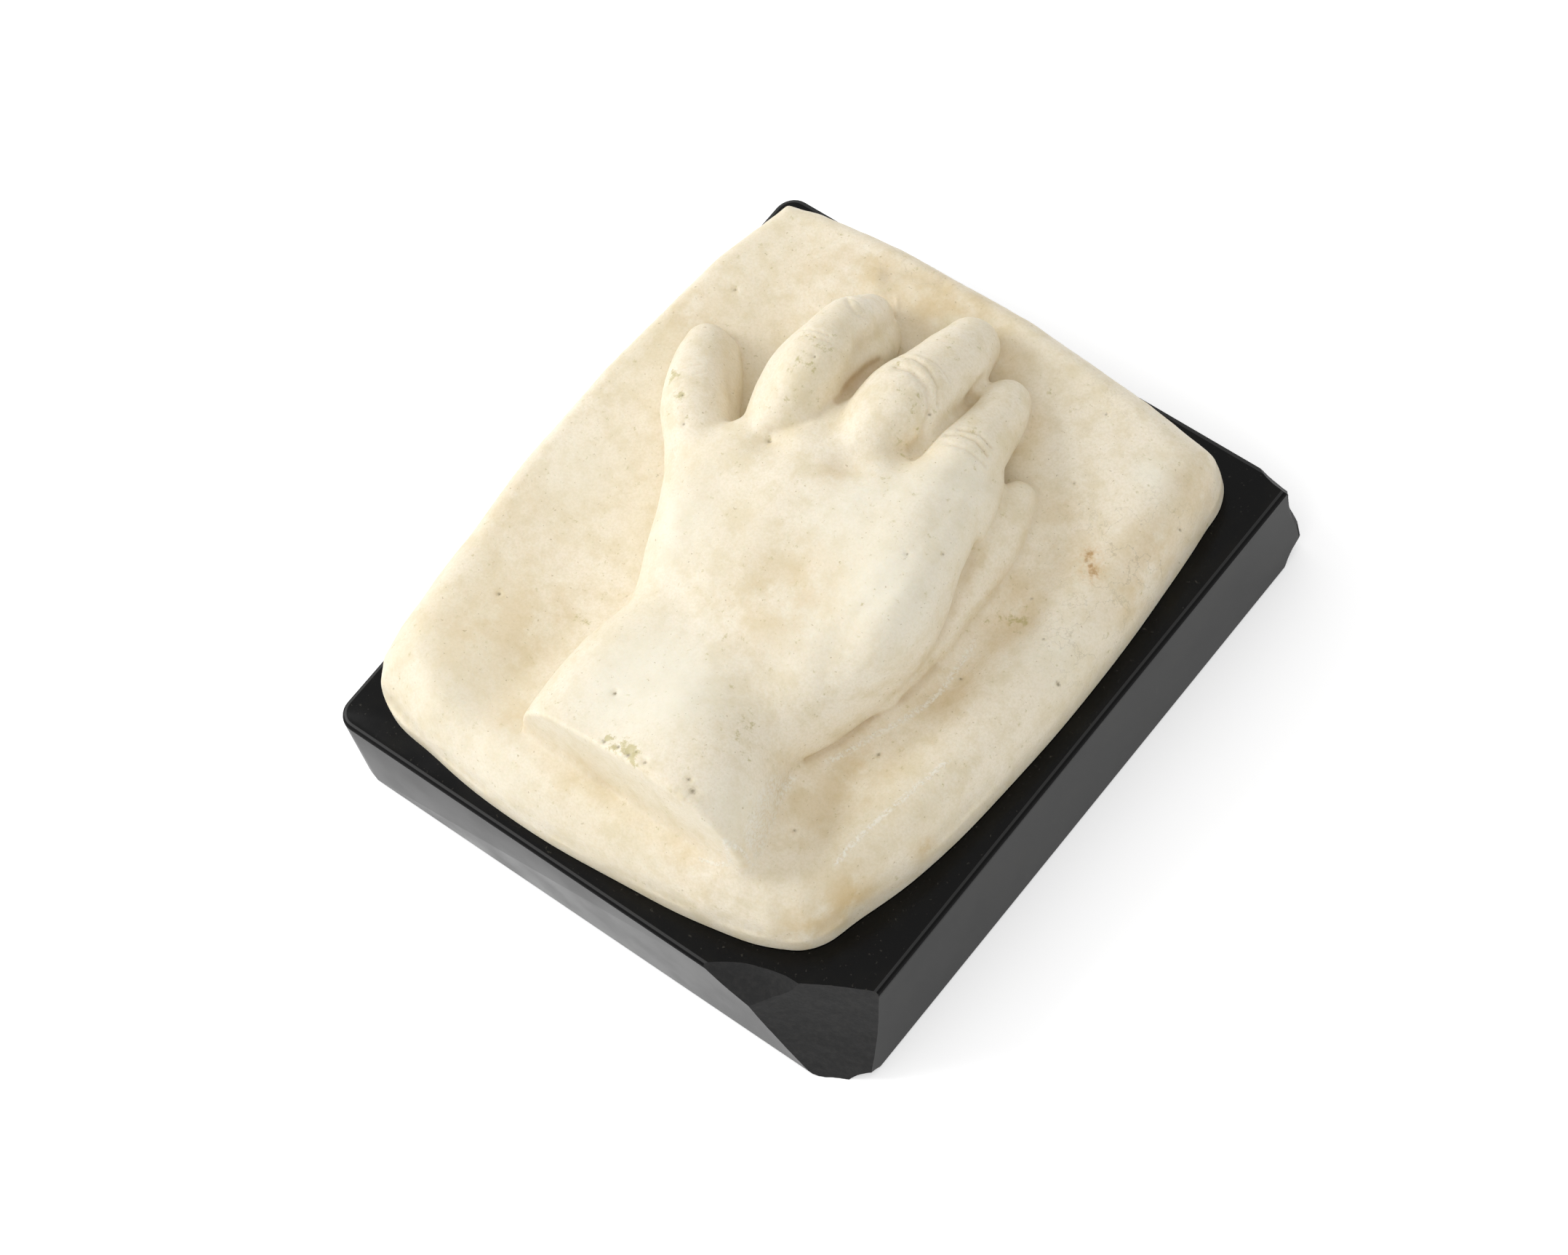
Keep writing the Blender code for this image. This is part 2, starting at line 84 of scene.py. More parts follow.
# Marble block in mm
MARBLE_FOOT = 25.3
CUSHION_TOP = 40.0
CUSHION_CROWN = 1.8
ROLL_FULLNESS = 2.3            # how squarely a side rolls over into the top
ROLL_BLEND = 6.0               # over which the width of one side's roll turns into the next's
WALL_SHARE = 0.3               # the height of the foot's upright wall, as a share of the cushion's
BLANK_ALLOWANCE = 2.5          # stone left under the foot until it is sawn flat
FOOT_WIDTH = 6.0
RECESS_DEPTH = 1.2
BORE_RADIUS = 3.3
BORE_FOOT, BORE_TOP = 12.0, 38.0
DOWEL_PLACES = ((6, -44), (2, 14))

# Plan of the cushion's foot in mm, with how far in each side rolls over to the top
CUSHION_PLAN = (
    (-62.2, -62.4, 14), (-59.0, -67.2, 12), (-42, -71.2, 8), (-18, -73.0, 9), (8, -71.5, 9), (30, -68.8, 9),
    (44.2, -64.8, 9), (50.6, -60.2, 10), (54.0, -50.6, 11), (58.2, -35.6, 13), (61.1, -8, 13.5),
    (61.6, 20, 13.5), (60.2, 44, 12), (58.9, 56.5, 10), (57.4, 65.2, 8), (53.2, 69.8, 8), (36, 71.6, 7),
    (18, 73.0, 6), (4, 73.9, 5), (-30, 73.2, 5), (-51.5, 71.6, 5), (-60.0, 69.9, 6), (-63.0, 50, 5),
    (-65.8, 14, 5), (-66.0, -12, 5), (-64.6, -38, 8), (-63.4, -53, 12),
)

# Hollows and swells of the cushion's top in mm: x, y, reach along, reach across, turn in degrees, height
CUSHION_SWELLS = (
    (0, 0, 34, 44, 0, -2.6),       # the whole top is pressed down under the hand
    (43, 2, 4, 24, 0, -2.0),       # furrow along the thumb
    (38, -40, 4, 14, 14, -2.0),    # furrow along the cut wrist
    (8, -64, 25, 2.6, 0, 0.8),     # low swell along the foot of the cut face
    (-31, -46, 5, 14, -8, -2.2),   # furrow left of the wrist
    (-42, -22, 11, 15, 0, -2.2),   # broad hollow beside the little finger's side of the hand
    (-36, 38, 8, 10, 30, -2.4),    # hollow between the two last fingers
    (-54, -55, 12, 11, 0, 1.6),    # the near left corner swells a little
    (-62, -69, 7, 7, 0, -3.0),     # the four corners are worn down
    (52, -62, 8, 8, 0, -2.5),
    (58, 70, 9, 9, 0, -3.0),
    (-60, 72, 12, 12, 0, -3.4),
    (44, 52, 8, 8, 0, 1.4),        # soft knob at the far corner
)

# Fingers in mm, palm to tip: x, y, height of the middle over the cushion's top, radius
FINGERS = {
    "little": (
        (-18.8, -0.2, 4.0, 10.0), (-26.1, 4.8, 7.0, 8.6), (-31.6, 9.6, 8.0, 7.3), (-36.3, 14.3, 8.0, 7.5),
        (-40.9, 19.9, 6.2, 6.9), (-44.8, 25.6, 3.8, 6.3), (-47.4, 29.6, 2.0, 5.2),
    ),
    "little_inner": (
        (-30.5, 11.0, 5.2, 6.3), (-34.3, 15.1, 4.6, 6.3), (-38.0, 20.5, 3.2, 6.0), (-42.0, 26.0, 1.6, 5.5),
        (-45.4, 30.2, 0.2, 4.7),
    ),
    "ring": (
        (-12.3, 3.0, 4.0, 11.0), (-14.2, 11.0, 8.0, 9.5), (-15.6, 18.6, 12.2, 7.8), (-16.1, 25.6, 16.0, 7.0),
        (-16.7, 31.4, 17.8, 7.2), (-18.3, 38.9, 16.0, 6.6), (-19.6, 45.8, 11.8, 6.6),
        (-20.8, 50.1, 7.2, 5.8), (-21.8, 53.0, 4.2, 5.0),
    ),
    "ring_side": (
        (-17.0, 17.0, 10.0, 7.4), (-18.8, 24.0, 13.0, 7.2), (-19.4, 30.0, 14.6, 7.4),
        (-20.8, 37.5, 12.4, 6.6), (-20.9, 44.6, 9.0, 6.6),
    ),
    "ring_inner": (
        (-13.0, 20.0, 9.5, 7.2), (-13.8, 26.0, 10.2, 7.4), (-14.5, 34.0, 10.5, 7.5), (-15.8, 41.0, 8.5, 7.2),
        (-17.4, 46.5, 4.8, 6.6), (-19.3, 50.4, 1.8, 5.8),
    ),
    "middle": (
        (3.1, 12.5, 5.5, 12.0), (2.7, 20.4, 9.3, 10.0), (2.5, 28.4, 13.0, 9.4), (2.6, 36.0, 14.2, 9.4),
        (2.6, 43.7, 11.3, 8.4), (2.0, 51.2, 8.0, 7.9), (0.4, 58.5, 4.2, 6.3),
    ),
    "index": (
        (18.5, 14.3, 6.0, 11.0), (19.0, 23.2, 9.0, 10.0), (18.9, 30.6, 10.3, 8.8), (18.4, 36.5, 9.4, 7.8),
        (17.2, 43.2, 6.7, 6.7), (15.6, 49.4, 4.6, 6.1), (14.6, 52.4, 3.0, 5.2),
    ),
    "thumb": (
        (28.5, -12.0, 0.0, 9.0), (32.4, 0.0, 0.2, 6.2), (33.2, 9, 0.8, 5.2), (33.0, 17, 1.2, 5.0),
        (32.6, 24, 1.4, 5.0), (30.8, 31, 1.2, 4.9), (29.4, 36.2, 0.8, 4.4),
    ),
}

# The webs of skin between the ring and middle fingers, and from the index down to the thumb, in mm
FINGER_WEB = ((-7.0, 17.0, 10.5, 9.5), (-7.6, 25.3, 11.2, 6.5))
THUMB_WEB = ((23.4, 34.2, 7.8, 4.5), (26.0, 29.1, 8.8, 4.6), (27.7, 22.5, 9.8, 5.0))

# The thumb side of the palm in mm: a fuller ridge from the heel to the index knuckle
PALM_EDGE = (
    (22.0, -24.0, 4.0, 8.6), (28.2, -14.5, 10.4, 8.4), (30.6, -3.4, 13.2, 8.0), (28.9, 5.5, 13.6, 7.8),
    (26.6, 14.3, 12.6, 7.8), (23.0, 23.6, 10.8, 8.4),
)

# The back of the hand and the wrist in mm, as rounded lengths laid side by side: x, y, height, radius
BACK_OF_HAND = (
    ((-10.7, -20.3, 3.5, 11.8), (-14.6, -11.6, 4.5, 12.2), (-18.5, -3.1, 5.5, 11.8), (-24.2, 4.4, 6.5, 10.8)),
    ((-3.6, -17.3, 4.5, 13.2), (-6.7, -7.5, 5.0, 13.2), (-11.4, 2.8, 6.0, 12.8), (-16.8, 11.5, 8.0, 11.2)),
    ((2.8, -17.3, 5.0, 13.8), (1.0, -6.5, 5.5, 13.8), (-2.4, 5.0, 7.0, 13.5), (-8.0, 17.5, 9.0, 11.6)),
    ((8.8, -16.6, 5.0, 14.2), (8.0, -5.3, 5.5, 14.2), (5.3, 7.3, 7.2, 13.8), (-0.3, 18.8, 9.5, 11.8)),
    ((14.3, -17.6, 5.0, 14.2), (17.0, -3.4, 6.8, 14.2), (14.0, 8.2, 8.0, 13.6), (7.9, 19.6, 9.5, 11.8)),
    ((19.5, -26.0, 3.0, 13.4), (24.5, -12.0, 6.8, 13.4), (27.0, -2.0, 9.6, 12.4), (24.0, 9.0, 10.8, 11.8),
     (19.5, 22.7, 10.0, 11.4)),
)
WRIST = (
    ((-7.5, -72, 1.0, 14.0), (-9.0, -50, 0.8, 15.2), (-8.5, -36, 0.8, 15.0), (-4.0, -24, 3.0, 12.5)),
    ((0.5, -72, 1.0, 16.0), (-1, -50, 0.6, 16.0), (-2, -36, 1.0, 15.5), (0.0, -24, 3.5, 13.0)),
    ((8.5, -72, 1.6, 17.0), (7.0, -50, 1.2, 17.0), (4.0, -36, 1.2, 16.0), (5.0, -24, 3.5, 13.5)),
    ((16.0, -72, 2.9, 17.4), (13.0, -50, 2.6, 17.5), (9.0, -36, 2, 16.2), (9, -24, 4.0, 13.5)),
    ((21.4, -72, 3.0, 16.8), (18.0, -54, 3.2, 17.0), (11.5, -38, 2, 16.2), (13, -24, 4.0, 13.5)),
)

# Dimples over the knuckles and hollows in the skin in mm: x, y, reach along, reach across, turn, depth
HAND_HOLLOWS = (
    (-28.5, 1.0, 3.5, 2.5, 45, -1.4),
    (-14.0, 13.0, 4, 2.5, 25, -1.8),
    (4.3, 17.4, 3.8, 2.8, 10, -2.0),
    (12.5, 25.5, 3, 4, 0, -2.0),
    (18, -28, 6, 5, 20, -1.0),
    (31, -17, 4, 4, 0, -1.4),
    (11.0, -8.0, 7, 9, -35, -1.0),
    (-2.0, -20.0, 8, 6, 0, -0.6),
)
HOLLOW_RISE = 8.0              # height over the cushion at which they reach their full depth

# Where the forearm is sawn off in mm, at the cushion's level, and how many degrees the sawn face leans back
CUT_FACE = -60.3
CUT_LEAN = 5.0

# Where the carver rubbed one form softly into the next, in mm: x, y, reach
SOFTENED = (
    (1.0, 21.0, 4.0), (-3.0, 17.5, 3.5), (-17.5, 9.0, 3.5), (18.5, 26.5, 4.5), (12.0, -29.0, 7.0),
    (24.0, -31.0, 5.0), (-17.5, -61.5, 3.0), (-7.0, -61.5, 3.0), (7.0, -61.5, 3.0), (20.0, -61.5, 3.0),
    (31.0, -61.5, 3.2), (-31.0, 5.0, 3.6), (-27.0, 10.0, 3.6), (3.1, 21.0, 3.6), (-9.5, 33.0, 3.0),
    (-10.5, 40.0, 3.0), (37.0, -58.5, 2.6), (37.0, -51.5, 2.6), (33.5, -44.0, 2.2), (-26.0, -24.0, 3.5),
    (-27.0, -12.0, 3.0), (-29.0, -33.0, 4.0), (-24.0, -47.0, 3.5), (27.0, 36.5, 2.2),
    (-9.4, 22.5, 2.8), (-8.8, 27.0, 2.6), (30.8, -36.5, 2.2), (32.9, -41.0, 2.4), (34.8, -47.0, 2.6),
    (36.2, -53.5, 2.6), (14.0, -61.5, 3.0), (26.0, -61.5, 3.0), (-12.0, -61.5, 3.0),
)

# Flesh pressed in or swelling between the forms, in mm: x, y, reach, height along the skin
KNEADED = (
    (8.5, 33.0, 4.0, 0.5), (-12.0, 42.0, 2.6, -1.0), (28.5, 30.0, 3.0, 0.8), (22.0, -22.0, 6.0, -0.3),
    (28.0, 33.0, 2.0, -0.5), (29.5, -5.0, 6.0, 0.4), (22.0, -50.0, 10.0, 1.5), (31.0, -52.0, 4.0, 0.8),
    (-4.0, 21.5, 3.0, -0.7), (40.0, -42.0, 5.0, -0.8), (50.0, 3.0, 6.0, 0.6), (-27.3, 61.0, 1.8, 0.4),
)

# Creases and cut lines in mm: width, depth, and the points x, y that each runs through
CREASES = (
    (1.4, 0.7, ((9.6, 52.4), (11.0, 47.0), (13.2, 39.8), (13.6, 33.0), (13.0, 27.0))),
    (1.5, 0.45, ((-8.8, 27.5), (-8.6, 23.8), (-10.2, 19.5), (-13.0, 16.6), (-14.6, 15.6))),
    (5.0, 1.1, ((46.8, 16.6), (43.9, 12.6), (42.0, 7.9), (42.3, 0.3), (41.0, -8.0))),
    (0.80, 0.50, ((-3.5, 43.3), (0.5, 43.9), (4.5, 43.4), (8.4, 41.7), (10.4, 38.8))),
    (0.45, 0.25, ((0.6, 45.4), (5.4, 45.8), (9.0, 44.6))),
    (1.40, 0.75, ((-0.4, 39.9), (3.4, 40.7), (7.4, 39.6), (10.2, 36.6), (11.4, 31.9), (11.0, 28.5))),
    (0.40, 0.20, ((-2.2, 49.4), (0.0, 51.5), (2.9, 52.6))),
    (0.70, 0.55, ((15.6, 34.3), (18.3, 36.0), (21.4, 36.9), (24.5, 36.2))),
    (0.60, 0.45, ((16.9, 37.0), (21.1, 38.7), (23.9, 38.2))),
    (0.60, 0.35, ((17.2, 32.4), (21.4, 33.8), (25.6, 34.0))),
    (0.40, 0.30, ((-21.7, 34.2), (-17.8, 35.4), (-14.2, 36.3))),
    (0.40, 0.30, ((-24.5, 35.7), (-19.8, 36.6), (-16.0, 37.5))),
    (0.40, 0.20, ((-23.7, 49.8), (-19.2, 49.5), (-16.4, 48.3))),
    (0.40, 0.18, ((-22.5, 52.3), (-19.4, 52.0), (-16.6, 50.6))),
    (0.40, 0.22, ((-44.1, 17.4), (-41.6, 19.5), (-39.9, 22.1))),
    (0.40, 0.22, ((-41.6, 15.6), (-39.4, 17.7), (-38.0, 20.2))),
    (0.90, 0.35, ((-22.5, 49.6), (-19.6, 47.6), (-17.0, 46.4), (-15.4, 47.4))),
    (2.40, 0.70, ((-26.6, 64.4), (-21.8, 67.6), (-16.4, 69.5))),
    (0.50, -0.25, ((-21.7, 61.0), (-16.7, 55.0))),
)

# Lines sunk where two forms meet, in mm: width, depth, and rough points x, y, z that settle into the valley
VALLEYS = (
    (0.7, 0.35, ((29.7, -33.5, 42), (32.7, -26.7, 41.5), (34.1, -20.8, 40.5), (35.8, -17.0, 40.5),
                (37.3, -11.9, 40), (38.4, -6.5, 39.5), (38.4, -1.7, 39.5))),
    (1.4, 1.6, ((-9.9, 30.5, 52), (-8.6, 36.0, 50), (-7.6, 42.0, 48), (-6.8, 48.0, 45))),
    (1.6, 1.2, ((11.0, 47.0, 48), (13.2, 39.8, 50), (13.6, 33.0, 51))),
    (3.0, 0.7, ((32.6, 20.0, 50), (32.8, 17.3, 48.4), (34.6, 11.6, 46.7), (36.5, 6.0, 45.3),
                (37.9, 2.3, 43.2))),
)

# Clefts cut deep beside a finger, stained brown and painted with shade, in mm: width, depth, and points x, y,
# z on the skin
CLEFTS = (
    (1.2, 0.6, ((-8.3, 28.8, 56.9), (-8.4, 30.4, 56.2), (-8.8, 32.4, 55.9), (-9.1, 35.3, 55.3),
                (-9.5, 39.5, 53.3), (-9.8, 43.2, 51.0))),
    (2.2, 0.4, ((-8.5, 33.5, 55.6), (-8.9, 38.2, 53.8), (-9.2, 41.0, 52.6))),
)

# Pits and small chips in mm: x, y, radius, depth
PITS = (
    (-14.1, 13.8, 0.55, 0.5), (-37.2, 13.2, 0.4, 0.3), (-32.8, 8.2, 0.4, 0.25), (-14.8, 31.7, 0.4, 0.3),
    (10.5, 36.0, 0.4, 0.3), (-52.2, 44.4, 0.5, 0.4), (-47.5, -39.0, 0.45, 0.4), (-4.3, -47.7, 0.5, 0.4),
    (22.6, -55.5, 0.45, 0.35), (43.3, -1.0, 0.5, 0.4), (40.8, -24.0, 0.5, 0.4), (37.0, -46.4, 0.4, 0.35),
    (59.7, 9.4, 0.5, 0.4), (58.5, 51.2, 0.4, 0.3), (32.4, 62.2, 0.4, 0.3), (36.8, 45.7, 0.4, 0.3),
    (32.7, 12.1, 0.4, 0.3), (28.1, 7.1, 0.35, 0.3), (44.8, 20.7, 0.4, 0.3), (53.0, 14.4, 0.4, 0.3),
    (1.4, -57.6, 0.6, 0.3), (5.2, -57.2, 0.5, 0.3), (8.4, -57.6, 0.7, 0.5), (9.6, -56.4, 0.4, 0.3),
    (12.9, -57.3, 0.5, 0.4), (24.5, -56.9, 0.8, 0.4),
)

# Patches of the marble's surface in mm: x, y, reach, strength
# Whitened where handled, and painted light where the wrist and the cushion's right side are brighter
BLEACHED_AND_LIT = (
    (26.6, 0.4, 6, 0.9), (10.6, 8.5, 6, 0.6), (17.5, 18.7, 6, 0.5), (25.6, 28.6, 6, 0.7),
    (32.0, 13.8, 6, 0.5), (35.4, -4.2, 6, 0.5), (23.1, -17.1, 7, 0.6), (-19.4, -11.3, 6, 0.7),
    (-3.1, -36.6, 8, 0.7), (-4.1, -49.1, 7, 0.8), (8.1, -42.4, 7, 0.9), (31.6, -54.4, 5, 0.6),
    (49.2, 55.9, 3.0, 1.0), (55.7, 14.2, 5, 0.6), (-53.9, -7.0, 6, 0.4), (-42.6, -59.6, 8, 0.3),
    (-23.3, -66.1, 8, 0.5),
)
# Soil, and painted shade where the back rim behind the fingers and a hollow of the palm are darker
SOILED_AND_SHADED = (
    (53.5, -50.3, 4.0, 1.0), (50.0, -60.3, 4.0, 0.8), (58.2, -33.2, 2.2, 0.9), (40.9, -28.4, 4.5, 0.6),
    (35.8, -40.9, 6.5, 0.4), (43.7, -6.4, 5.0, 0.5), (40.7, 20.4, 3.0, 0.4), (44.6, 13.9, 4.0, 0.6),
    (20.6, 52.8, 2.5, 0.4), (37.5, 39.3, 3.0, 0.4), (7.6, 60.9, 4.0, 0.4), (-25.3, -58.2, 5.0, 0.5),
    (-38.6, -39.4, 8.0, 0.4), (-47.7, -51.2, 6.0, 0.3), (-57.0, 34.3, 5.0, 0.4), (-39.8, 58.2, 6.0, 0.3),
    (-30.9, 64.5, 4.0, 0.5), (-59.9, -23.5, 6.0, 0.3), (57.2, 59.7, 5.0, 0.5), (58.5, 43.6, 5.0, 0.6),
    (60.1, 32.5, 4.0, 0.5), (47.7, 32.1, 5.0, 0.4), (-6.0, -61.0, 5.0, 0.3), (26.4, -63.2, 5.0, 0.4),
    (10.8, 27.2, 3.0, 0.4), (2.9, 14.2, 2.5, 0.5), (-16.8, 64.0, 6.0, 0.5), (-7.4, 66.8, 6.0, 0.4),
    (12.6, -13.3, 8.0, 0.5), (-33.3, 23.2, 2.5, 0.3),
)
MOSSY = (
    (-29.7, -33.3, 1.2, 1.0), (1.6, -56.6, 0.9, 1.0), (4.2, -57.0, 1.1, 1.0), (6.8, -56.8, 1.2, 1.0),
    (9.2, -56.8, 1.2, 1.0), (10.6, -57.8, 1.0, 0.9),
    (-44.5, 17.8, 1.6, 0.5), (-35.0, 11.0, 2.5, 0.3), (-42.9, 16.0, 1.4, 0.7), (-37.2, 12.9, 1.2, 0.5),
    (-20.1, 34.5, 1.2, 0.5), (-16.9, 34.3, 1.0, 0.7), (-14.4, 34.6, 1.1, 0.7), (-16.7, 29.3, 1.0, 0.6),
    (-13.9, 29.4, 1.0, 0.5), (-13.6, 23.5, 2.2, 0.4), (-23.9, 47.8, 1.6, 0.4), (46.5, 16.4, 1.2, 0.8),
    (-14.4, 14.0, 0.9, 1.0), (23.4, -39.4, 2.5, 0.5), (-0.8, 41.9, 2.5, 0.4), (8.4, 34.0, 2.5, 0.4),
    (20.5, 37.5, 2.0, 0.4), (10.5, 27.0, 1.6, 0.5), (43.5, 14.0, 2.0, 0.5),
)
VEINED = ((57.0, 42.0, 10, 1.0), (59.0, 20.0, 7, 0.8), (-24.0, 66.0, 6, 0.6), (30.0, 66.0, 8, 0.4))
PATCHES = {"bleached_and_lit": BLEACHED_AND_LIT, "soiled_and_shaded": SOILED_AND_SHADED, "mossy": MOSSY, "veined": VEINED}

# Light chisel-rough strips on the marble in mm: half width, and points x, y that each runs through
ABRADED = (
    (1.1, ((32.5, -32.0), (34.9, -27.2), (37.4, -21.3), (40.4, -13.9), (41.6, -6.4), (41.2, 1.2),
           (40.6, 8.3))),
    (0.9, ((49.0, -49.0), (49.4, -40.8), (51.3, -30.0), (52.7, -22.0), (53.7, -16.3))),
    (1.2, ((30.0, -37.0), (31.0, -43.0), (33.2, -49.0), (35.6, -57.0))),
    (0.6, ((25.7, -62.7), (31.7, -60.7), (36.5, -57.3))),
)

# Rust stains in mm: x, y, radius
RUST = ((49.1, 34.6, 1.1), (49.6, 33.0, 0.7), (51.0, 32.6, 0.6), (52.4, 31.8, 1.1))
RUST_HALO = ((49.3, 34.4, 2.6), (52.0, 32.0, 2.8))

# Sizes of the marble's patterns in mm. Its crystals are really about 0.2 mm, and are drawn as coarse as they
# need to be to show
CLOUD_SIZE = 30
BLOTCH_SIZE = 5
CRYSTAL_SIZE = 0.55
SPECK_SIZE = 0.8
SOIL_AND_SHADE_SIZE = 6
VEIN_SPACING = 9
MOSS_SIZE = 1.8
RASP_SIZE = 0.7
DRESSING_SIZE = 1.6            # marks that the rasp and the pumice left
DRESSING_DEPTH = 0.12
PIT_SHARE = 0.9                # how much of a pit's radius is dark
FRAY_SIZE = 0.9                # size of the teeth on the ragged edge of a pit or a rust spot
FRAY = 3.0                     # their depth, as a share of the spot's radius
FAR_OFF = 9.0                  # radii from a spot at which there is nothing of it
LINE_END = 0.06                # share of a rough strip's length over which each end fades out

# Sizes of the black stone's patterns in mm. Dust, grain and grit are drawn as coarse as they need to show
STONE_CLOUD_SIZE = 10
SMEAR_SIZE = 12
DUST_SIZE = 0.9
STONE_GRAIN_SIZE = 1.2
STONE_GRIT_SIZE = 0.8
STONE_GRIT_DEPTH = 0.15

# Camera: place in mm, turn in degrees, and lens and sensor in mm
CAMERA_PLACE = (464.16, -304.59, 950.09)
CAMERA_TURN = (29.0774, 10.6393, 39.0475)
CAMERA_LENS = 120.985
CAMERA_SENSOR = 36
CAMERA_REACH = 20              # in metres

# Studio: light from all round, the floor in metres and what it adds to be white to the camera, and softboxes
# by place and size in metres and power in watts, aimed at the middle of the stone
WORLD_LEVEL = 0.7
FLOOR_SIZE = 8
FLOOR_GLOW = 0.41
LAMPS = (
    ("key", (-1.0, -0.4, 0.72), 0.7, 9.2),
    ("fill", (0.7, -0.7, 0.9), 0.9, 1.6),
)
LAMP_AIM = (0, 0, 0.04)

# Working resolution of the carving in mm, and the passes of rubbing that each skin gets
PALM_VOXEL, PALM_PASSES = 1.4, 55
HAND_VOXEL, HAND_PASSES = 0.7, 5
BLOCK_VOXEL, BLOCK_PASSES = 0.45, 4
CARVING_TRIANGLES = 190000
WELD = 0.01                    # points closer than this become one
SAW_TOLERANCE = 0.001

# The tools: passes that soften a form or find the hollows of the skin, and reaches in mm
SOFT_PASSES = 60
VALLEY_PASSES = 10
VALLEY_REACH = 2.6             # how far a rough place looks for the valley
SOIL_AND_SHADE_PASSES = 25
DEEP_HOLLOW = 0.5              # the depth at which the soil and painted shade are strongest
SKIN_STEP = 0.8                # between the points of a line that is laid on the skin
OVERHEAD = 200.0               # height from which the skin is looked for
FOOT_EDGE = 0.5                # height over the foot that the tools leave alone
UNEVENNESS = ((0.10, 9.0, 3), (0.035, 2.5, 7))    # height, size of the lumps, and seed

# Brown staining and painted shade in the clefts and valleys, and how much wider than a cleft it lies
CLEFT_STAIN_AND_SHADE, CLEFT_SPREAD = 0.5, 1.3
VALLEY_STAIN_AND_SHADE = 0.4


def deselect():
    if bpy.context.object and bpy.context.object.mode != "OBJECT":
        bpy.ops.object.mode_set(mode="OBJECT")
    bpy.ops.object.select_all(action="DESELECT")


def pick(*objects):
    """Selects only these objects, the first of them active."""
    deselect()
    for obj in objects:
        obj.select_set(True)
    bpy.context.view_layer.objects.active = objects[0]


def apply_modifier(obj, kind, **settings):
    pick(obj)
    modifier = obj.modifiers.new(kind.lower(), kind)
    for key, value in settings.items():
        setattr(modifier, key, value)
    bpy.ops.object.modifier_apply(modifier=modifier.name)
    return obj


def joined(name, parts):
    pick(*parts)
    bpy.ops.object.join()
    parts[0].name = parts[0].data.name = name
    return parts[0]


def points_of(obj):
    """The vertices as an array in millimetres."""
    flat = np.empty(len(obj.data.vertices) * 3, np.float32)
    obj.data.vertices.foreach_get("co", flat)
    return flat.reshape(-1, 3).astype(float) / MM


def put_points(obj, points):
    obj.data.vertices.foreach_set("co", (points * MM).astype(np.float32).ravel())
    obj.data.update()


def swell(x, y, bumps):
    """Height in mm that a table of hollows and swells gives at x, y."""
    total = np.zeros(len(x))
    for px, py, along, across, turn, height in bumps:
        c, s = math.cos(math.radians(turn)), math.sin(math.radians(turn))
        u = ((x - px) * c + (y - py) * s) / along
        v = ((y - py) * c - (x - px) * s) / across
        total += height * np.exp(-(u * u + v * v) / 2)
    return total


def limb(stations):
    """A rounded length of flesh: a thick curve through the stations, with a ball at each end."""
    deselect()
    bpy.ops.curve.primitive_bezier_curve_add()
    obj = bpy.context.object
    curve = obj.data
    curve.bevel_depth = MM
    curve.bevel_resolution = 6
    curve.resolution_u = 8
    curve.use_fill_caps = True
    points = curve.splines[0].bezier_points
    points.add(len(stations) - 2)
    for point, (x, y, height, radius) in zip(points, stations):
        point.co = (x * MM, y * MM, (CUSHION_TOP + height) * MM)
        point.radius = radius
        point.handle_left_type = point.handle_right_type = "AUTO"
    bpy.ops.object.convert(target="MESH")
    parts = [bpy.context.object]
    for x, y, height, radius in (stations[0], stations[-1]):
        deselect()
        bpy.ops.mesh.primitive_uv_sphere_add(
            segments=24, ring_count=14, radius=radius * MM,
            location=(x * MM, y * MM, (CUSHION_TOP + height) * MM),
        )
        bpy.ops.object.transform_apply(location=True, rotation=False, scale=False)
        parts.append(bpy.context.object)
    made = joined("limb", parts)
    pick(made)
    bpy.ops.object.mode_set(mode="EDIT")
    bpy.ops.mesh.select_all(action="SELECT")
    bpy.ops.mesh.remove_doubles(threshold=WELD * MM)
    bpy.ops.object.mode_set(mode="OBJECT")
    return made


def clay(name, parts, voxel, passes):
    """Merges closed, overlapping parts into one skin and rubs it smooth."""
    made = joined(name, parts)
    apply_modifier(made, "REMESH", mode="VOXEL", voxel_size=voxel * MM)
    apply_modifier(made, "SMOOTH", factor=0.5, iterations=passes)
    return made


def outline_slab(name, inset, low, high):
    """The cushion's plan, drawn in to end inset short of each side, as a solid slab from low to high."""
    draw_in_x = 1 - inset / max(abs(x) for x, _, _ in CUSHION_PLAN)
    draw_in_y = 1 - inset / max(abs(y) for _, y, _ in CUSHION_PLAN)
    deselect()
    bpy.ops.curve.primitive_bezier_curve_add(location=(0, 0, (low + high) / 2 * MM))
    obj = bpy.context.object
    curve = obj.data
    curve.dimensions = "2D"
    curve.fill_mode = "BOTH"
    curve.extrude = (high - low) / 2 * MM
    curve.resolution_u = 6
    curve.splines[0].use_cyclic_u = True
    points = curve.splines[0].bezier_points
    points.add(len(CUSHION_PLAN) - 2)
    for point, (x, y, _) in zip(points, CUSHION_PLAN):
        point.co = (x * draw_in_x * MM, y * draw_in_y * MM, 0)
        point.handle_left_type = point.handle_right_type = "AUTO"
    bpy.ops.object.convert(target="MESH")
    bpy.ops.object.transform_apply(location=True, rotation=False, scale=False)
    obj = bpy.context.object
    obj.name = name
    bpy.ops.object.mode_set(mode="EDIT")
    bpy.ops.mesh.select_all(action="SELECT")
    bpy.ops.mesh.remove_doubles(threshold=WELD * MM)
    bpy.ops.mesh.normals_make_consistent(inside=False)
    bpy.ops.object.mode_set(mode="OBJECT")
    return obj


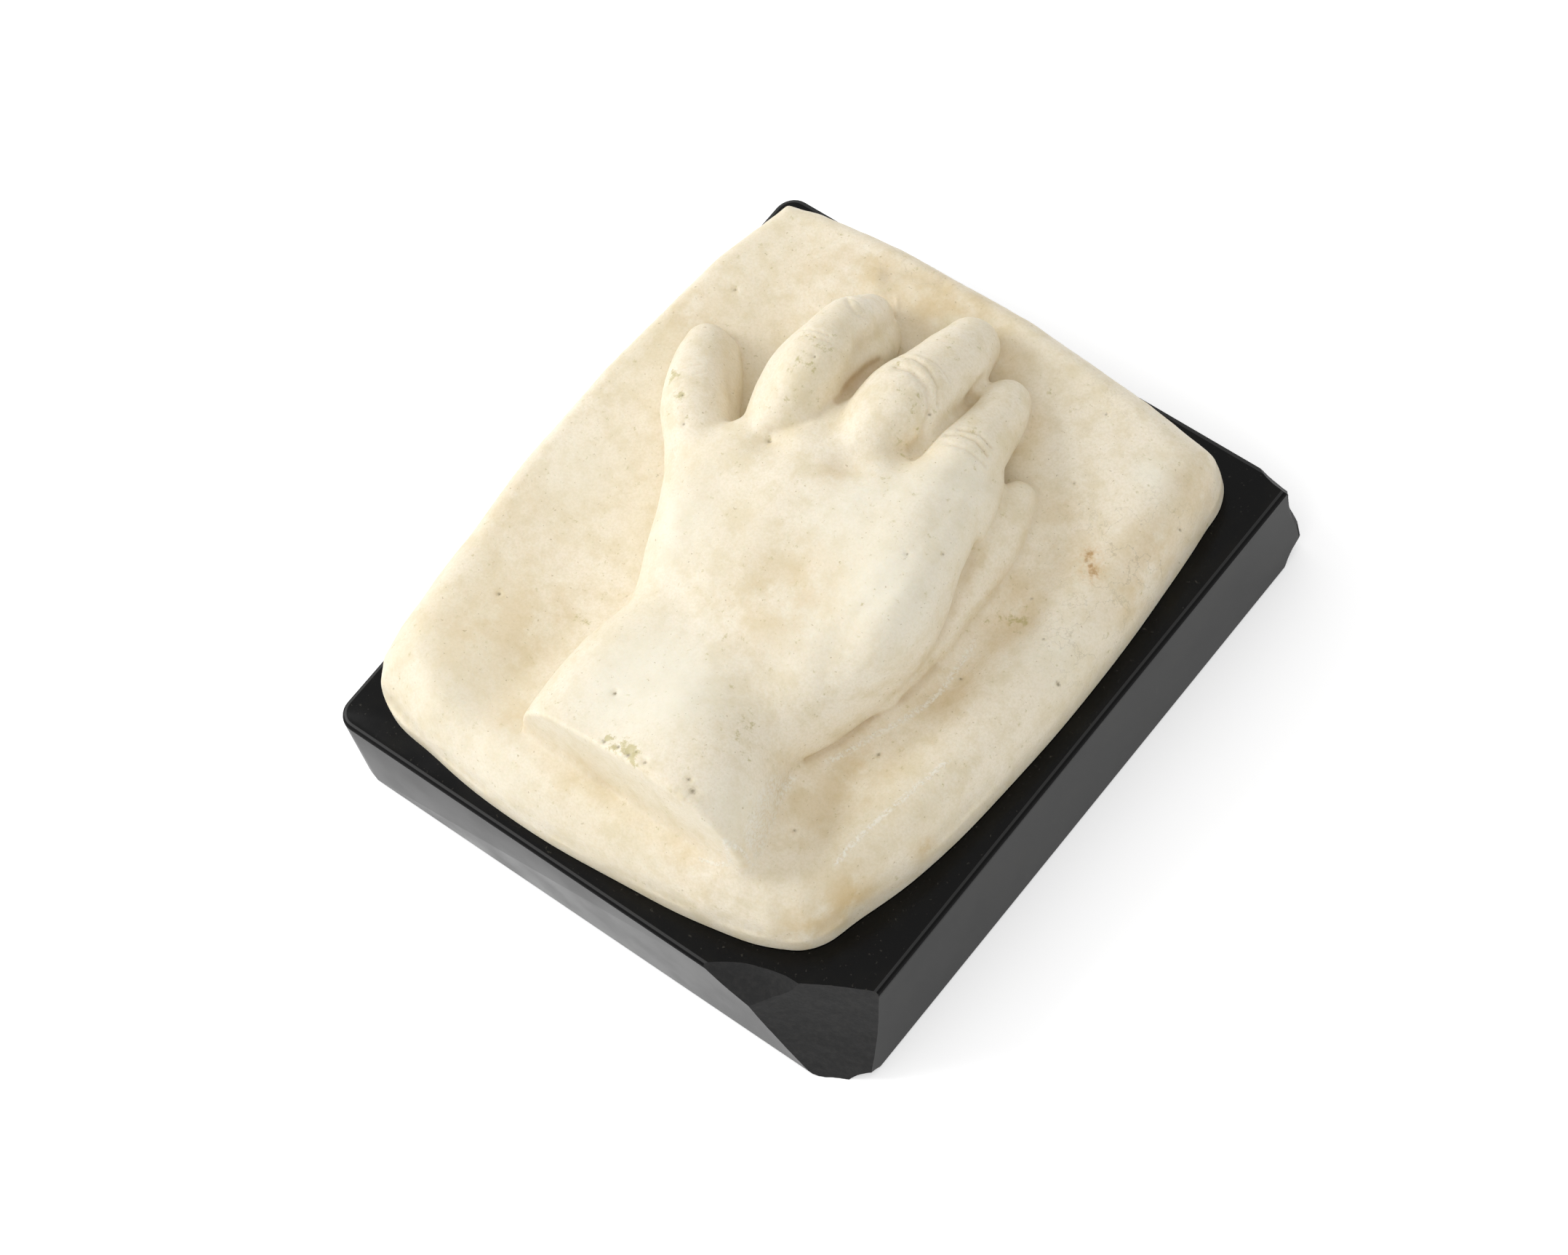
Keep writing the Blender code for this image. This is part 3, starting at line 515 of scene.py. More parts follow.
def side_share(points):
    """How far in over the cushion's rolled side each point is: 0 on the outline, 1 where the top begins."""
    within = np.full(len(points), np.inf)
    weights, widths = np.zeros(len(points)), np.zeros(len(points))
    for number, (x, y, roll) in enumerate(CUSHION_PLAN):
        next_x, next_y, _ = CUSHION_PLAN[(number + 1) % len(CUSHION_PLAN)]
        across, up = points[:, 0] - x, points[:, 1] - y
        run = math.hypot(next_x - x, next_y - y)
        within = np.minimum(within, ((next_x - x) * up - (next_y - y) * across) / run)
        weight = np.exp(-np.hypot(across, up) / ROLL_BLEND)
        weights += weight
        widths += weight * roll
    return np.clip(within * weights / widths, 0, 1)


def cushion():
    """The cushion: a slab on the plan, its sides rolled over into the top like a filled pillow's."""
    crown = CUSHION_TOP + CUSHION_CROWN
    obj = outline_slab("cushion", 0, MARBLE_FOOT - BLANK_ALLOWANCE, crown)
    apply_modifier(obj, "REMESH", mode="VOXEL", voxel_size=HAND_VOXEL * MM)
    points = points_of(obj)
    share = side_share(points)
    profile = WALL_SHARE + (1 - WALL_SHARE) * (1 - (1 - share) ** ROLL_FULLNESS) ** (1 / ROLL_FULLNESS)
    up = np.clip((points[:, 2] - MARBLE_FOOT) / (crown - MARBLE_FOOT), 0, None)
    height = crown - MARBLE_FOOT + swell(points[:, 0], points[:, 1], CUSHION_SWELLS)
    above = points[:, 2] > MARBLE_FOOT
    points[above, 2] = (MARBLE_FOOT + up * profile * height)[above]
    put_points(obj, points)
    return obj


def saw_off(obj, place, outward):
    """Cuts away what lies on the outward side of a plane and closes the sawn face."""
    pick(obj)
    bpy.ops.object.mode_set(mode="EDIT")
    bpy.ops.mesh.select_all(action="SELECT")
    bpy.ops.mesh.bisect(
        plane_co=[v * MM for v in place], plane_no=outward, use_fill=True, clear_outer=True,
        threshold=SAW_TOLERANCE * MM,
    )
    bpy.ops.object.mode_set(mode="OBJECT")


def hand():
    palm = clay("palm", [limb(stations) for stations in BACK_OF_HAND + WRIST], PALM_VOXEL, PALM_PASSES)
    parts = [limb(stations) for stations in (PALM_EDGE, FINGER_WEB, THUMB_WEB, *FINGERS.values())]
    made = clay("hand", [palm] + parts, HAND_VOXEL, HAND_PASSES)
    tilt = math.radians(CUT_LEAN)
    saw_off(made, (0, CUT_FACE, CUSHION_TOP), (0, -math.cos(tilt), math.sin(tilt)))
    points = points_of(made)
    share = np.clip((points[:, 2] - CUSHION_TOP) / HOLLOW_RISE, 0, 1)
    points[:, 2] += share * swell(points[:, 0], points[:, 1], HAND_HOLLOWS)
    put_points(made, points)
    return made


def cylinder(radius, low, high, place):
    deselect()
    bpy.ops.mesh.primitive_cylinder_add(
        vertices=32, radius=radius * MM, depth=(high - low) * MM,
        location=(place[0] * MM, place[1] * MM, (low + high) / 2 * MM),
    )
    bpy.ops.object.transform_apply(location=True, rotation=False, scale=False)
    return bpy.context.object


def cut_with(obj, cutter, **settings):
    apply_modifier(obj, "BOOLEAN", operation="DIFFERENCE", solver="EXACT", object=cutter, **settings)
    bpy.data.objects.remove(cutter, do_unlink=True)


def rubbed(points, edges, passes):
    """The points after so many passes of moving each halfway to the middle of its neighbours."""
    first, second = edges[:, 0], edges[:, 1]
    count = np.bincount(first, minlength=len(points)) + np.bincount(second, minlength=len(points))
    for _ in range(passes):
        around = [
            np.bincount(first, points[second, axis], len(points))
            + np.bincount(second, points[first, axis], len(points)) for axis in range(3)
        ]
        points = 0.5 * points + 0.5 * np.stack(around, 1) / np.maximum(count, 1)[:, None]
    return points


def edges_of(obj):
    flat = np.empty(len(obj.data.edges) * 2, np.int32)
    obj.data.edges.foreach_get("vertices", flat)
    return flat.reshape(-1, 2)


def near(points, place, reach):
    """1 at a place, falling away over its reach."""
    return np.exp(-((points - np.array(place)) ** 2).sum(1) / (2 * reach ** 2))


def line_share(points, line, width):
    """1 on a line through these points, falling away to nothing within its width."""
    line = np.array(line, float)
    close = ((points > line.min(0) - 2 * width) & (points < line.max(0) + 2 * width)).all(1)
    chosen = points[close]
    away = np.full(len(chosen), np.inf)
    for start, end in zip(line, line[1:]):
        span = end - start
        along = np.clip((chosen - start) @ span / (span @ span), 0, 1)
        away = np.minimum(away, ((chosen - start - along[:, None] * span) ** 2).sum(1))
    share = np.zeros(len(points))
    share[close] = np.exp(-away / (2 * (width / 2) ** 2))
    return share


class Skin:
    """Finds the height of the carved skin under a place."""

    def __init__(self, obj):
        self.tree = BVHTree.FromObject(obj, bpy.context.evaluated_depsgraph_get())

    def place(self, x, y):
        hit = self.tree.ray_cast(Vector((x, y, OVERHEAD)) * MM, Vector((0, 0, -1)))[0]
        return tuple(hit / MM)

    def line(self, stops):
        """The line through the stops, laid on the skin in short steps."""
        laid = []
        for (x, y), (next_x, next_y) in zip(stops, stops[1:]):
            count = max(1, round(math.hypot(next_x - x, next_y - y) / SKIN_STEP))
            for step in range(count):
                laid.append(self.place(x + (next_x - x) * step / count, y + (next_y - y) * step / count))
        return laid + [self.place(*stops[-1])]


def valley_near(points, hollow, stop):
    """The most hollow point of the skin within reach of a rough place."""
    away = ((points - np.array(stop, float)) ** 2).sum(1)
    close = np.flatnonzero(away < VALLEY_REACH ** 2)
    return points[close[hollow[close].argmax()]] if len(close) else np.array(stop, float)


def roughness(points, size, seed):
    """Uneven values about 0, in lumps of about size mm."""
    start = Vector((seed, 0, 0))
    return np.array([fractal(Vector(point) / size + start, 0.8, 2.0, 3) for point in points.tolist()])


def tool_work(obj):
    """The carver's last tools, which soften, crease and cleave, and then long years of knocks.

    Returns the width and the settled line of each valley.
    """
    skin = Skin(obj)
    points, edges = points_of(obj), edges_of(obj)
    share = np.clip(sum(near(points, skin.place(x, y), reach) for x, y, reach in SOFTENED), 0, 1)
    points += share[:, None] * (rubbed(points, edges, SOFT_PASSES) - points)
    put_points(obj, points)
    skin = Skin(obj)
    normals = normals_of(obj)
    hollow = ((rubbed(points, edges, VALLEY_PASSES) - points) * normals).sum(1)
    height = sum(rise * near(points, skin.place(x, y), reach) for x, y, reach, rise in KNEADED)
    height += sum(rise * roughness(points, size, seed) for rise, size, seed in UNEVENNESS)
    for width, depth, stops in CREASES:
        height -= depth * line_share(points, skin.line(stops), width)
    valleys = []
    for width, depth, stops in VALLEYS:
        line = [valley_near(points, hollow, stop) for stop in stops]
        height -= depth * line_share(points, line, width)
        valleys.append((width, line))
    for width, depth, stops in CLEFTS:
        height -= depth * line_share(points, stops, width)
    for x, y, radius, depth in PITS:
        height -= depth * near(points, skin.place(x, y), radius)
    height[points[:, 2] <= MARBLE_FOOT + FOOT_EDGE] = 0
    put_points(obj, points + height[:, None] * normals)
    return valleys


def normals_of(obj):
    flat = np.empty(len(obj.data.vertices) * 3, np.float32)
    obj.data.vertices.foreach_get("normal", flat)
    return flat.reshape(-1, 3).astype(float)


def paint(obj, name, values):
    layer = obj.data.attributes.new(name, "FLOAT", "POINT")
    layer.data.foreach_set("value", values.astype(np.float32))


def paint_hollows(obj, valleys):
    """Paints the soil and painted shade of the skin's hollows, and the brown staining and painted shade of
    clefts and valleys.
    """
    points, edges, normals = points_of(obj), edges_of(obj), normals_of(obj)
    deep = ((rubbed(points, edges, SOIL_AND_SHADE_PASSES) - points) * normals).sum(1)
    paint(obj, "hollow", np.clip(deep / DEEP_HOLLOW, 0, 1))
    # brown staining and painted shade along the clefts, then along the valleys
    stain_and_shade = sum(CLEFT_STAIN_AND_SHADE * line_share(points, stops, CLEFT_SPREAD * width) for width, _, stops in CLEFTS)
    for width, line in valleys:
        spread = max(1, width)
        stain_and_shade += VALLEY_STAIN_AND_SHADE / spread * line_share(points, line, spread)
    paint(obj, "stain_and_shade", np.clip(stain_and_shade, 0, 1))


def paint_patches(obj, name, patches):
    """Paints soft round patches where the table's places lie on the skin."""
    skin, points = Skin(obj), points_of(obj)
    share = sum(strength * near(points, skin.place(x, y), reach) for x, y, reach, strength in patches)
    paint(obj, name, np.clip(share, 0, 1))


def carved_marble():
    """The hand and its cushion in one block, with the recess and bores in its foot."""
    block = clay("carved_marble", [cushion(), hand()], BLOCK_VOXEL, BLOCK_PASSES)
    valleys = tool_work(block)
    saw_off(block, (0, 0, MARBLE_FOOT), (0, 0, -1))
    apply_modifier(block, "DECIMATE", ratio=min(1.0, CARVING_TRIANGLES / (2 * len(block.data.polygons))))
    recess = outline_slab("recess", FOOT_WIDTH, MARBLE_FOOT - RECESS_DEPTH, MARBLE_FOOT + RECESS_DEPTH)
    cut_with(block, recess)
    for place in DOWEL_PLACES:
        cut_with(block, cylinder(BORE_RADIUS, MARBLE_FOOT, BORE_TOP, place))
    paint_hollows(block, valleys)
    for name, patches in PATCHES.items():
        paint_patches(block, name, patches)
    pick(block)
    bpy.ops.object.shade_smooth_by_angle(angle=math.radians(MARBLE_SHARP))
    return block


def linear(hex_colour):
    """An sRGB hex colour as the linear values that a shader takes."""
    channels = [int(hex_colour[i:i + 2], 16) / 255 for i in (0, 2, 4)]
    return tuple(c / 12.92 if c <= 0.04045 else ((c + 0.055) / 1.055) ** 2.4 for c in channels) + (1.0,)


def set_inputs(node, values):
    """Gives each input, by its name or number, a plain value or another node's output."""
    for key, value in values.items():
        if isinstance(value, bpy.types.NodeSocket):
            node.id_data.links.new(value, node.inputs[key])
        else:
            node.inputs[key].default_value = value


def add_node(tree, kind, values=None, output=0, **settings):
    """Adds a node with its settings and links, and gives one of its outputs."""
    node = tree.nodes.new(kind)
    for key, value in settings.items():
        setattr(node, key, value)
    set_inputs(node, values or {})
    return node.outputs[output]


def new_material(name):
    """A material, its node tree and its main shader."""
    made = bpy.data.materials.new(name)
    made.use_nodes = True
    return made, made.node_tree, made.node_tree.nodes["Principled BSDF"]


def clouded(tree, place, size, detail, harshness, low, high, least=0.0, most=1.0):
    """Clouds in the stone, about size mm across: least where they are thinner than low, most past high."""
    thickness = add_node(tree, "ShaderNodeTexNoise", {
        "Vector": place, "Scale": 1 / (size * MM), "Detail": detail, "Roughness": harshness,
    }, "Fac")
    return add_node(tree, "ShaderNodeMapRange", {
        "Value": thickness, "From Min": low, "From Max": high, "To Min": least, "To Max": most,
    }, interpolation_type="SMOOTHSTEP")


def laid_over(tree, colour, layers):
    """Lays tints (hex) over a colour in turn, each as strong as the product of its factors."""
    for tint, strength, *factors in layers:
        for factor in factors:
            strength = add_node(tree, "ShaderNodeMath", {0: strength, 1: factor}, operation="MULTIPLY")
        colour = add_node(tree, "ShaderNodeMix", {"Factor": strength, 6: colour, 7: linear(tint)}, 2,
                          data_type="RGBA")
    return colour


def spots(tree, place, table):
    """1 inside ragged round spots seen from above, 0 outside: each is x, y and radius in mm."""
    flat = add_node(tree, "ShaderNodeVectorMath", {0: place, 1: (1, 1, 0)}, operation="MULTIPLY")
    nearest = FAR_OFF
    for x, y, radius in table:
        away = add_node(tree, "ShaderNodeVectorMath", {0: flat, 1: (x * MM, y * MM, 0)}, "Value",
                        operation="DISTANCE")
        share = add_node(tree, "ShaderNodeMath", {0: away, 1: radius * MM}, operation="DIVIDE")
        nearest = add_node(tree, "ShaderNodeMath", {0: nearest, 1: share}, operation="MINIMUM")
    teeth = add_node(tree, "ShaderNodeTexNoise", {
        "Vector": place, "Scale": 1 / (FRAY_SIZE * MM), "Detail": 4, "Roughness": 0.7,
    }, "Fac")
    frayed = add_node(tree, "ShaderNodeMath", {0: teeth, 1: FRAY, 2: nearest}, operation="MULTIPLY_ADD")
    return add_node(tree, "ShaderNodeMapRange", {
        "Value": frayed, "From Min": 1.2, "From Max": 2.8, "To Min": 1.0, "To Max": 0.0,
    }, interpolation_type="SMOOTHSTEP")


def strokes(tree, place, table):
    """1 on lines seen from above, 0 beside them and past their ends: each has a half width and stops in mm.

    A float curve, read along the line from its first stop to its last, says how far to the side it lies.
    """
    strongest = 0.0
    for width, stops in table:
        first, last = Vector(stops[0]), Vector(stops[-1])
        length = (last - first).length
        ahead = (last - first) / length
        side = Vector((-ahead.y, ahead.x))
        spread = 2 * max(abs((Vector(stop) - first) @ side) for stop in stops) + 1
        start = (first.x * MM, first.y * MM, 0)
        moved = add_node(tree, "ShaderNodeVectorMath", {0: place, 1: start}, operation="SUBTRACT")
        along, across = (
            add_node(tree, "ShaderNodeVectorMath", {0: moved, 1: (way.x / size, way.y / size, 0)}, "Value",
                     operation="DOT_PRODUCT") for way, size in ((ahead, length * MM), (side, MM))
        )
        line = add_node(tree, "ShaderNodeFloatCurve", {"Value": along})
        shape = line.node.mapping.curves[0]
        for number, stop in enumerate(stops):
            step = Vector(stop) - first
            spot = (step @ ahead / length, 0.5 + step @ side / (2 * spread))
            if number in (0, len(stops) - 1):
                shape.points[0 if number == 0 else -1].location = spot
            else:
                shape.points.new(*spot)
        line.node.mapping.update()
        middle = add_node(tree, "ShaderNodeMapRange", {"Value": line, "To Min": -spread, "To Max": spread})
        off = add_node(tree, "ShaderNodeMath", {0: across, 1: middle}, operation="SUBTRACT")
        off = add_node(tree, "ShaderNodeMath", {0: off}, operation="ABSOLUTE")
        share = 1.0
        for value, none, full in ((off, width, 0.2 * width), (along, 0, LINE_END), (along, 1, 1 - LINE_END)):
            share = add_node(tree, "ShaderNodeMapRange", {
                "Value": value, "From Min": none, "From Max": full, "To Min": 0.0, "To Max": share,
            }, interpolation_type="SMOOTHSTEP")
        strongest = add_node(tree, "ShaderNodeMath", {0: strongest, 1: share}, operation="MAXIMUM")
    return strongest


def honed_marble():
    """Statuary marble, honed and long handled.

    The eye gets a cream stone, slightly translucent and satin, clouded and specked, whitened where it is
    touched, and brown, mossy or rusty where soil and damp have sat. Painted light brightens some of its lit
    sides, and painted shade darkens its hollows, clefts, valleys and some patches of soil.
    """
    made, tree, shader = new_material("honed_statuary_marble")
    place = add_node(tree, "ShaderNodeTexCoord", output="Object")
    painted = {
        name: add_node(tree, "ShaderNodeAttribute", output="Fac", attribute_name=name)
        for name in ("hollow", "stain_and_shade", *PATCHES)
    }
    seam, damp, dressing = (
        add_node(tree, "ShaderNodeTexNoise", {
            "Vector": place, "Scale": 1 / (size * MM), "Detail": 5, "Roughness": harshness,
        }, "Fac") for size, harshness in ((VEIN_SPACING, 0.6), (MOSS_SIZE, 0.7), (DRESSING_SIZE, 0.65))
    )
    seam = add_node(tree, "ShaderNodeMath", {0: seam, 1: 0.5}, operation="SUBTRACT")
    seam = add_node(tree, "ShaderNodeMath", {0: seam}, operation="ABSOLUTE")
    vein = add_node(tree, "ShaderNodeMapRange", {
        "Value": seam, "From Min": 0.0, "From Max": 0.012, "To Min": 1.0, "To Max": 0.0,
    }, interpolation_type="SMOOTHSTEP")
    damp = add_node(tree, "ShaderNodeMath", {0: painted["mossy"], 1: 0.24, 2: damp}, operation="MULTIPLY_ADD")
    moss = add_node(tree, "ShaderNodeMapRange", {
        "Value": damp, "From Min": 0.60, "From Max": 0.76, "To Min": 0.0, "To Max": 0.65,
    }, interpolation_type="SMOOTHSTEP")
    rasped = clouded(tree, place, RASP_SIZE, 4, 0.7, 0.42, 0.58)
    abraded = strokes(tree, place, ABRADED)
    abraded = add_node(tree, "ShaderNodeMath", {0: abraded, 1: rasped}, operation="MULTIPLY")
    pits = [(x, y, PIT_SHARE * radius) for x, y, radius, _ in PITS]
    colour = laid_over(tree, linear("f5ebd7"), (
        ("eee3cb", clouded(tree, place, CLOUD_SIZE, 4, 0.5, 0.35, 0.65)),
        ("dbcca4", clouded(tree, place, BLOTCH_SIZE, 6, 0.65, 0.42, 0.68, most=0.45)),
        ("d6c9a4", clouded(tree, place, CRYSTAL_SIZE, 3, 0.6, 0.35, 0.70, most=0.3)),
        # whitening where handled, partly painted light
        ("f4f0e0", painted["bleached_and_lit"], 0.6),
        # soil and painted shade in patches, broken up into clouds
        ("d3b67c", painted["soiled_and_shaded"], clouded(tree, place, SOIL_AND_SHADE_SIZE, 5, 0.6, 0.3, 0.6), 0.75),
        # soil and painted shade in the skin's hollows, darker the deeper they are
        ("cbb488", painted["hollow"], 0.35),
        # brown staining and painted shade along the clefts and valleys
        ("b28d55", painted["stain_and_shade"], 0.8),
        ("8f8468", painted["veined"], vein, 0.3),
        ("b3a866", moss),
        ("a8946a", clouded(tree, place, SPECK_SIZE, 2, 0.5, 0.70, 0.76, most=0.5)),
        ("d6a860", spots(tree, place, RUST_HALO), 0.45),
        ("a5762f", spots(tree, place, RUST), 0.7),
        ("6f6040", spots(tree, place, pits), 0.7),
        ("f6f0e0", abraded, 0.9),
    ))
    height = add_node(tree, "ShaderNodeMath", {0: dressing, 1: abraded}, operation="ADD")
    bump = add_node(tree, "ShaderNodeBump", {
        "Height": height, "Distance": DRESSING_DEPTH * MM, "Strength": 0.5,
    })
    set_inputs(shader, {
        "Base Color": colour, "Roughness": 0.5, "Normal": bump, "Subsurface Weight": 0.25,
        "Subsurface Radius": (1.0, 0.75, 0.5), "Subsurface Scale": 1.5 * MM,
    })
    return made


def polished_stone():
    """Black limestone, polished: dark, glossy enough to mirror what is pale, with dust and faint smears."""
    made, tree, shader = new_material("polished_black_limestone")
    place = add_node(tree, "ShaderNodeTexCoord", output="Object")
    colour = laid_over(tree, linear("060606"), (
        ("0f0e0b", clouded(tree, place, STONE_CLOUD_SIZE, 5, 0.5, 0.45, 0.7)),
        ("45433c", clouded(tree, place, DUST_SIZE, 3, 0.5, 0.66, 0.74, most=0.5)),
    ))
    smears = clouded(tree, place, SMEAR_SIZE, 4, 0.5, 0.3, 0.7, 0.16, 0.26)
    set_inputs(shader, {"Base Color": colour, "Roughness": smears, "Specular IOR Level": 0.17})
    return made


def rubbed_highlight_stone():
    """The eased arrises' upper faces, rubbed matt by handling, with a pale grey colour that is a painted
    highlight: a thin grey line.
    """
    made, _, shader = new_material("rubbed_highlight_black_limestone")
    set_inputs(shader, {"Base Color": linear("2a2a2a"), "Roughness": 0.5, "Specular IOR Level": 0.25})
    return made


def shaded_arris_stone():
    """The lower part of the arrises: quite matt, with a black colour that is painted shade."""
    made, _, shader = new_material("shaded_matt_black_limestone")
    set_inputs(shader, {"Base Color": linear("0c0c0c"), "Roughness": 0.7, "Specular IOR Level": 0.12})
    return made


def broken_stone():
    """The same stone where it is broken: unpolished, dark grey, with fine grit over its rippled shape."""
    made, tree, shader = new_material("broken_black_limestone")
    place = add_node(tree, "ShaderNodeTexCoord", output="Object")
    colour = laid_over(tree, linear("0f0f0f"), (
        ("1b1a19", clouded(tree, place, STONE_GRAIN_SIZE, 4, 0.5, 0.4, 0.7)),
    ))
    grit = add_node(tree, "ShaderNodeTexNoise", {
        "Vector": place, "Scale": 1 / (STONE_GRIT_SIZE * MM), "Detail": 5, "Roughness": 0.6,
    }, "Fac")
    bump = add_node(tree, "ShaderNodeBump", {
        "Height": grit, "Distance": STONE_GRIT_DEPTH * MM, "Strength": 0.6,
    })
    set_inputs(shader, {
        "Base Color": colour, "Roughness": 0.6, "Specular IOR Level": 0.35, "Normal": bump,
    })
    return made


def set_plaster():
    """Set plaster of the bed between the stones: chalky white, quite matt."""
    made, _, shader = new_material("set_plaster")
    set_inputs(shader, {"Base Color": linear("ddd9cf"), "Roughness": 0.9})
    return made


def drawn_brass():
    """Drawn brass rod of the dowels: yellow metal, dull from the plaster."""
    made, _, shader = new_material("drawn_brass")
    set_inputs(shader, {"Base Color": linear("b8904a"), "Metallic": 1.0, "Roughness": 0.38})
    return made


def select_edges(obj, wanted):
    """Selects, in edit mode, the edges for which wanted(ends in mm) holds."""
    pick(obj)
    bpy.ops.object.mode_set(mode="EDIT")
    bpy.ops.mesh.select_mode(type="EDGE")
    bpy.ops.mesh.select_all(action="DESELECT")
    shape = bmesh.from_edit_mesh(obj.data)
    for edge in shape.edges:
        edge.select_set(wanted([vertex.co / MM for vertex in edge.verts]))
    bmesh.update_edit_mesh(obj.data)


def lumps(u, v, size, seed, harshness, octaves):
    """Uneven values about 0 over a sheet, in lumps of about size mm."""
    return np.array([
        fractal(Vector((a / size, b / size, seed)), harshness, 2.0, octaves) for a, b in zip(u, v)
    ])


def flake(name, point, normal, radius, reach):
    """Cutter for a shell-shaped chip: a hollowed, rippled sheet through point, thickened outwards."""
    count = 2 * CHIP_CELLS
    deselect()
    bpy.ops.mesh.primitive_grid_add(x_subdivisions=count, y_subdivisions=count, size=2 * reach * MM)
    obj = bpy.context.object
    obj.name = name
    points = points_of(obj)
    u, v = points[:, 0], points[:, 1]
    rim = 0.05 * radius ** 2    # past the ball's rim the sheet runs out level
    sag = radius - np.sqrt(np.maximum(radius ** 2 - u ** 2 - v ** 2, rim))
    from_blow = np.hypot(u - BLOW[0] * reach, v - BLOW[1] * reach)
    rings = np.sin(from_blow * 2 * math.pi / (RIPPLE_SPACING + RIPPLE_WIDENING * from_blow))
    rings *= 0.5 + lumps(u, v, RIPPLE_PATCH, radius, 0.6, 3)
    points[:, 2] = sag + RIPPLE_HEIGHT * (rings + 0.5 * lumps(u, v, GRIT_SIZE, radius, 0.7, 4))
    put_points(obj, points)
    bpy.ops.object.mode_set(mode="EDIT")
    bpy.ops.mesh.select_all(action="SELECT")
    bpy.ops.mesh.extrude_region_move(TRANSFORM_OT_translate={"value": (0, 0, 1.5 * reach * MM)})
    bpy.ops.mesh.select_all(action="SELECT")
    bpy.ops.mesh.normals_make_consistent(inside=False)
    bpy.ops.object.mode_set(mode="OBJECT")
    turn = Vector(normal).normalized().to_track_quat("Z", "Y").to_matrix().to_4x4()
    obj.data.transform(Matrix.Translation(Vector(point) * MM) @ turn)
    obj.data.update()
    return obj


def black_plinth():
    """The slab of black stone: sawn square, two corners rounded, arrises eased, then chipped and bored."""
    deselect()
    bpy.ops.mesh.primitive_cube_add(size=1)
    slab = bpy.context.object
    slab.name = slab.data.name = "black_plinth"
    for finish in (polished_stone(), rubbed_highlight_stone(), broken_stone(), shaded_arris_stone()):
        slab.data.materials.append(finish)
    bpy.ops.object.mode_set(mode="EDIT")
    bpy.ops.mesh.select_all(action="SELECT")
    size = (PLINTH_WIDTH * MM, PLINTH_LENGTH * MM, PLINTH_THICKNESS * MM)
    bpy.ops.transform.resize(value=size, center_override=(0, 0, 0))
    bpy.ops.transform.translate(value=(0, 0, size[2] / 2))
    bpy.ops.object.mode_set(mode="OBJECT")

    def upright(ends):
        return abs(ends[0].z - ends[1].z) > EVEN

    def sharp(ends):
        """Level edges, and the upright ones at the two right corners, which aren't rounded."""
        right = min(end.x for end in ends) > PLINTH_WIDTH / 2 - EVEN
        corner = min(abs(end.y) for end in ends) > PLINTH_LENGTH / 2 - EVEN
        return not upright(ends) or (right and corner)

    select_edges(slab, lambda ends: upright(ends) and ends[0].x < 0)
    bpy.ops.mesh.bevel(offset=PLINTH_CORNER * MM, segments=8, affect="EDGES")
    bpy.ops.object.mode_set(mode="OBJECT")
    select_edges(slab, sharp)
    bpy.ops.mesh.bevel(offset=PLINTH_ARRIS * MM, segments=3, affect="EDGES", material=RUBBED_HIGHLIGHT)
    bpy.ops.object.mode_set(mode="OBJECT")
    # upward arris faces keep the painted highlight, steeper ones get the painted shade
    for face in slab.data.polygons:
        if face.material_index == RUBBED_HIGHLIGHT and face.normal.z < HIGHLIGHT_SLOPE:
            face.material_index = SHADED_ARRIS
    for number, (point, normal, radius, reach) in enumerate(CHIPS):
        cutter = flake(f"chip_{number}", point, normal, radius, reach)
        cutter.data.materials.append(slab.data.materials[BROKEN])
        cut_with(slab, cutter, material_mode="TRANSFER")
    for place in DOWEL_PLACES:
        cut_with(slab, cylinder(BORE_RADIUS, BORE_FOOT, PLINTH_THICKNESS + 1, place))
    pick(slab)
    bpy.ops.object.shade_smooth_by_angle(angle=math.radians(STONE_SHARP))
    return slab


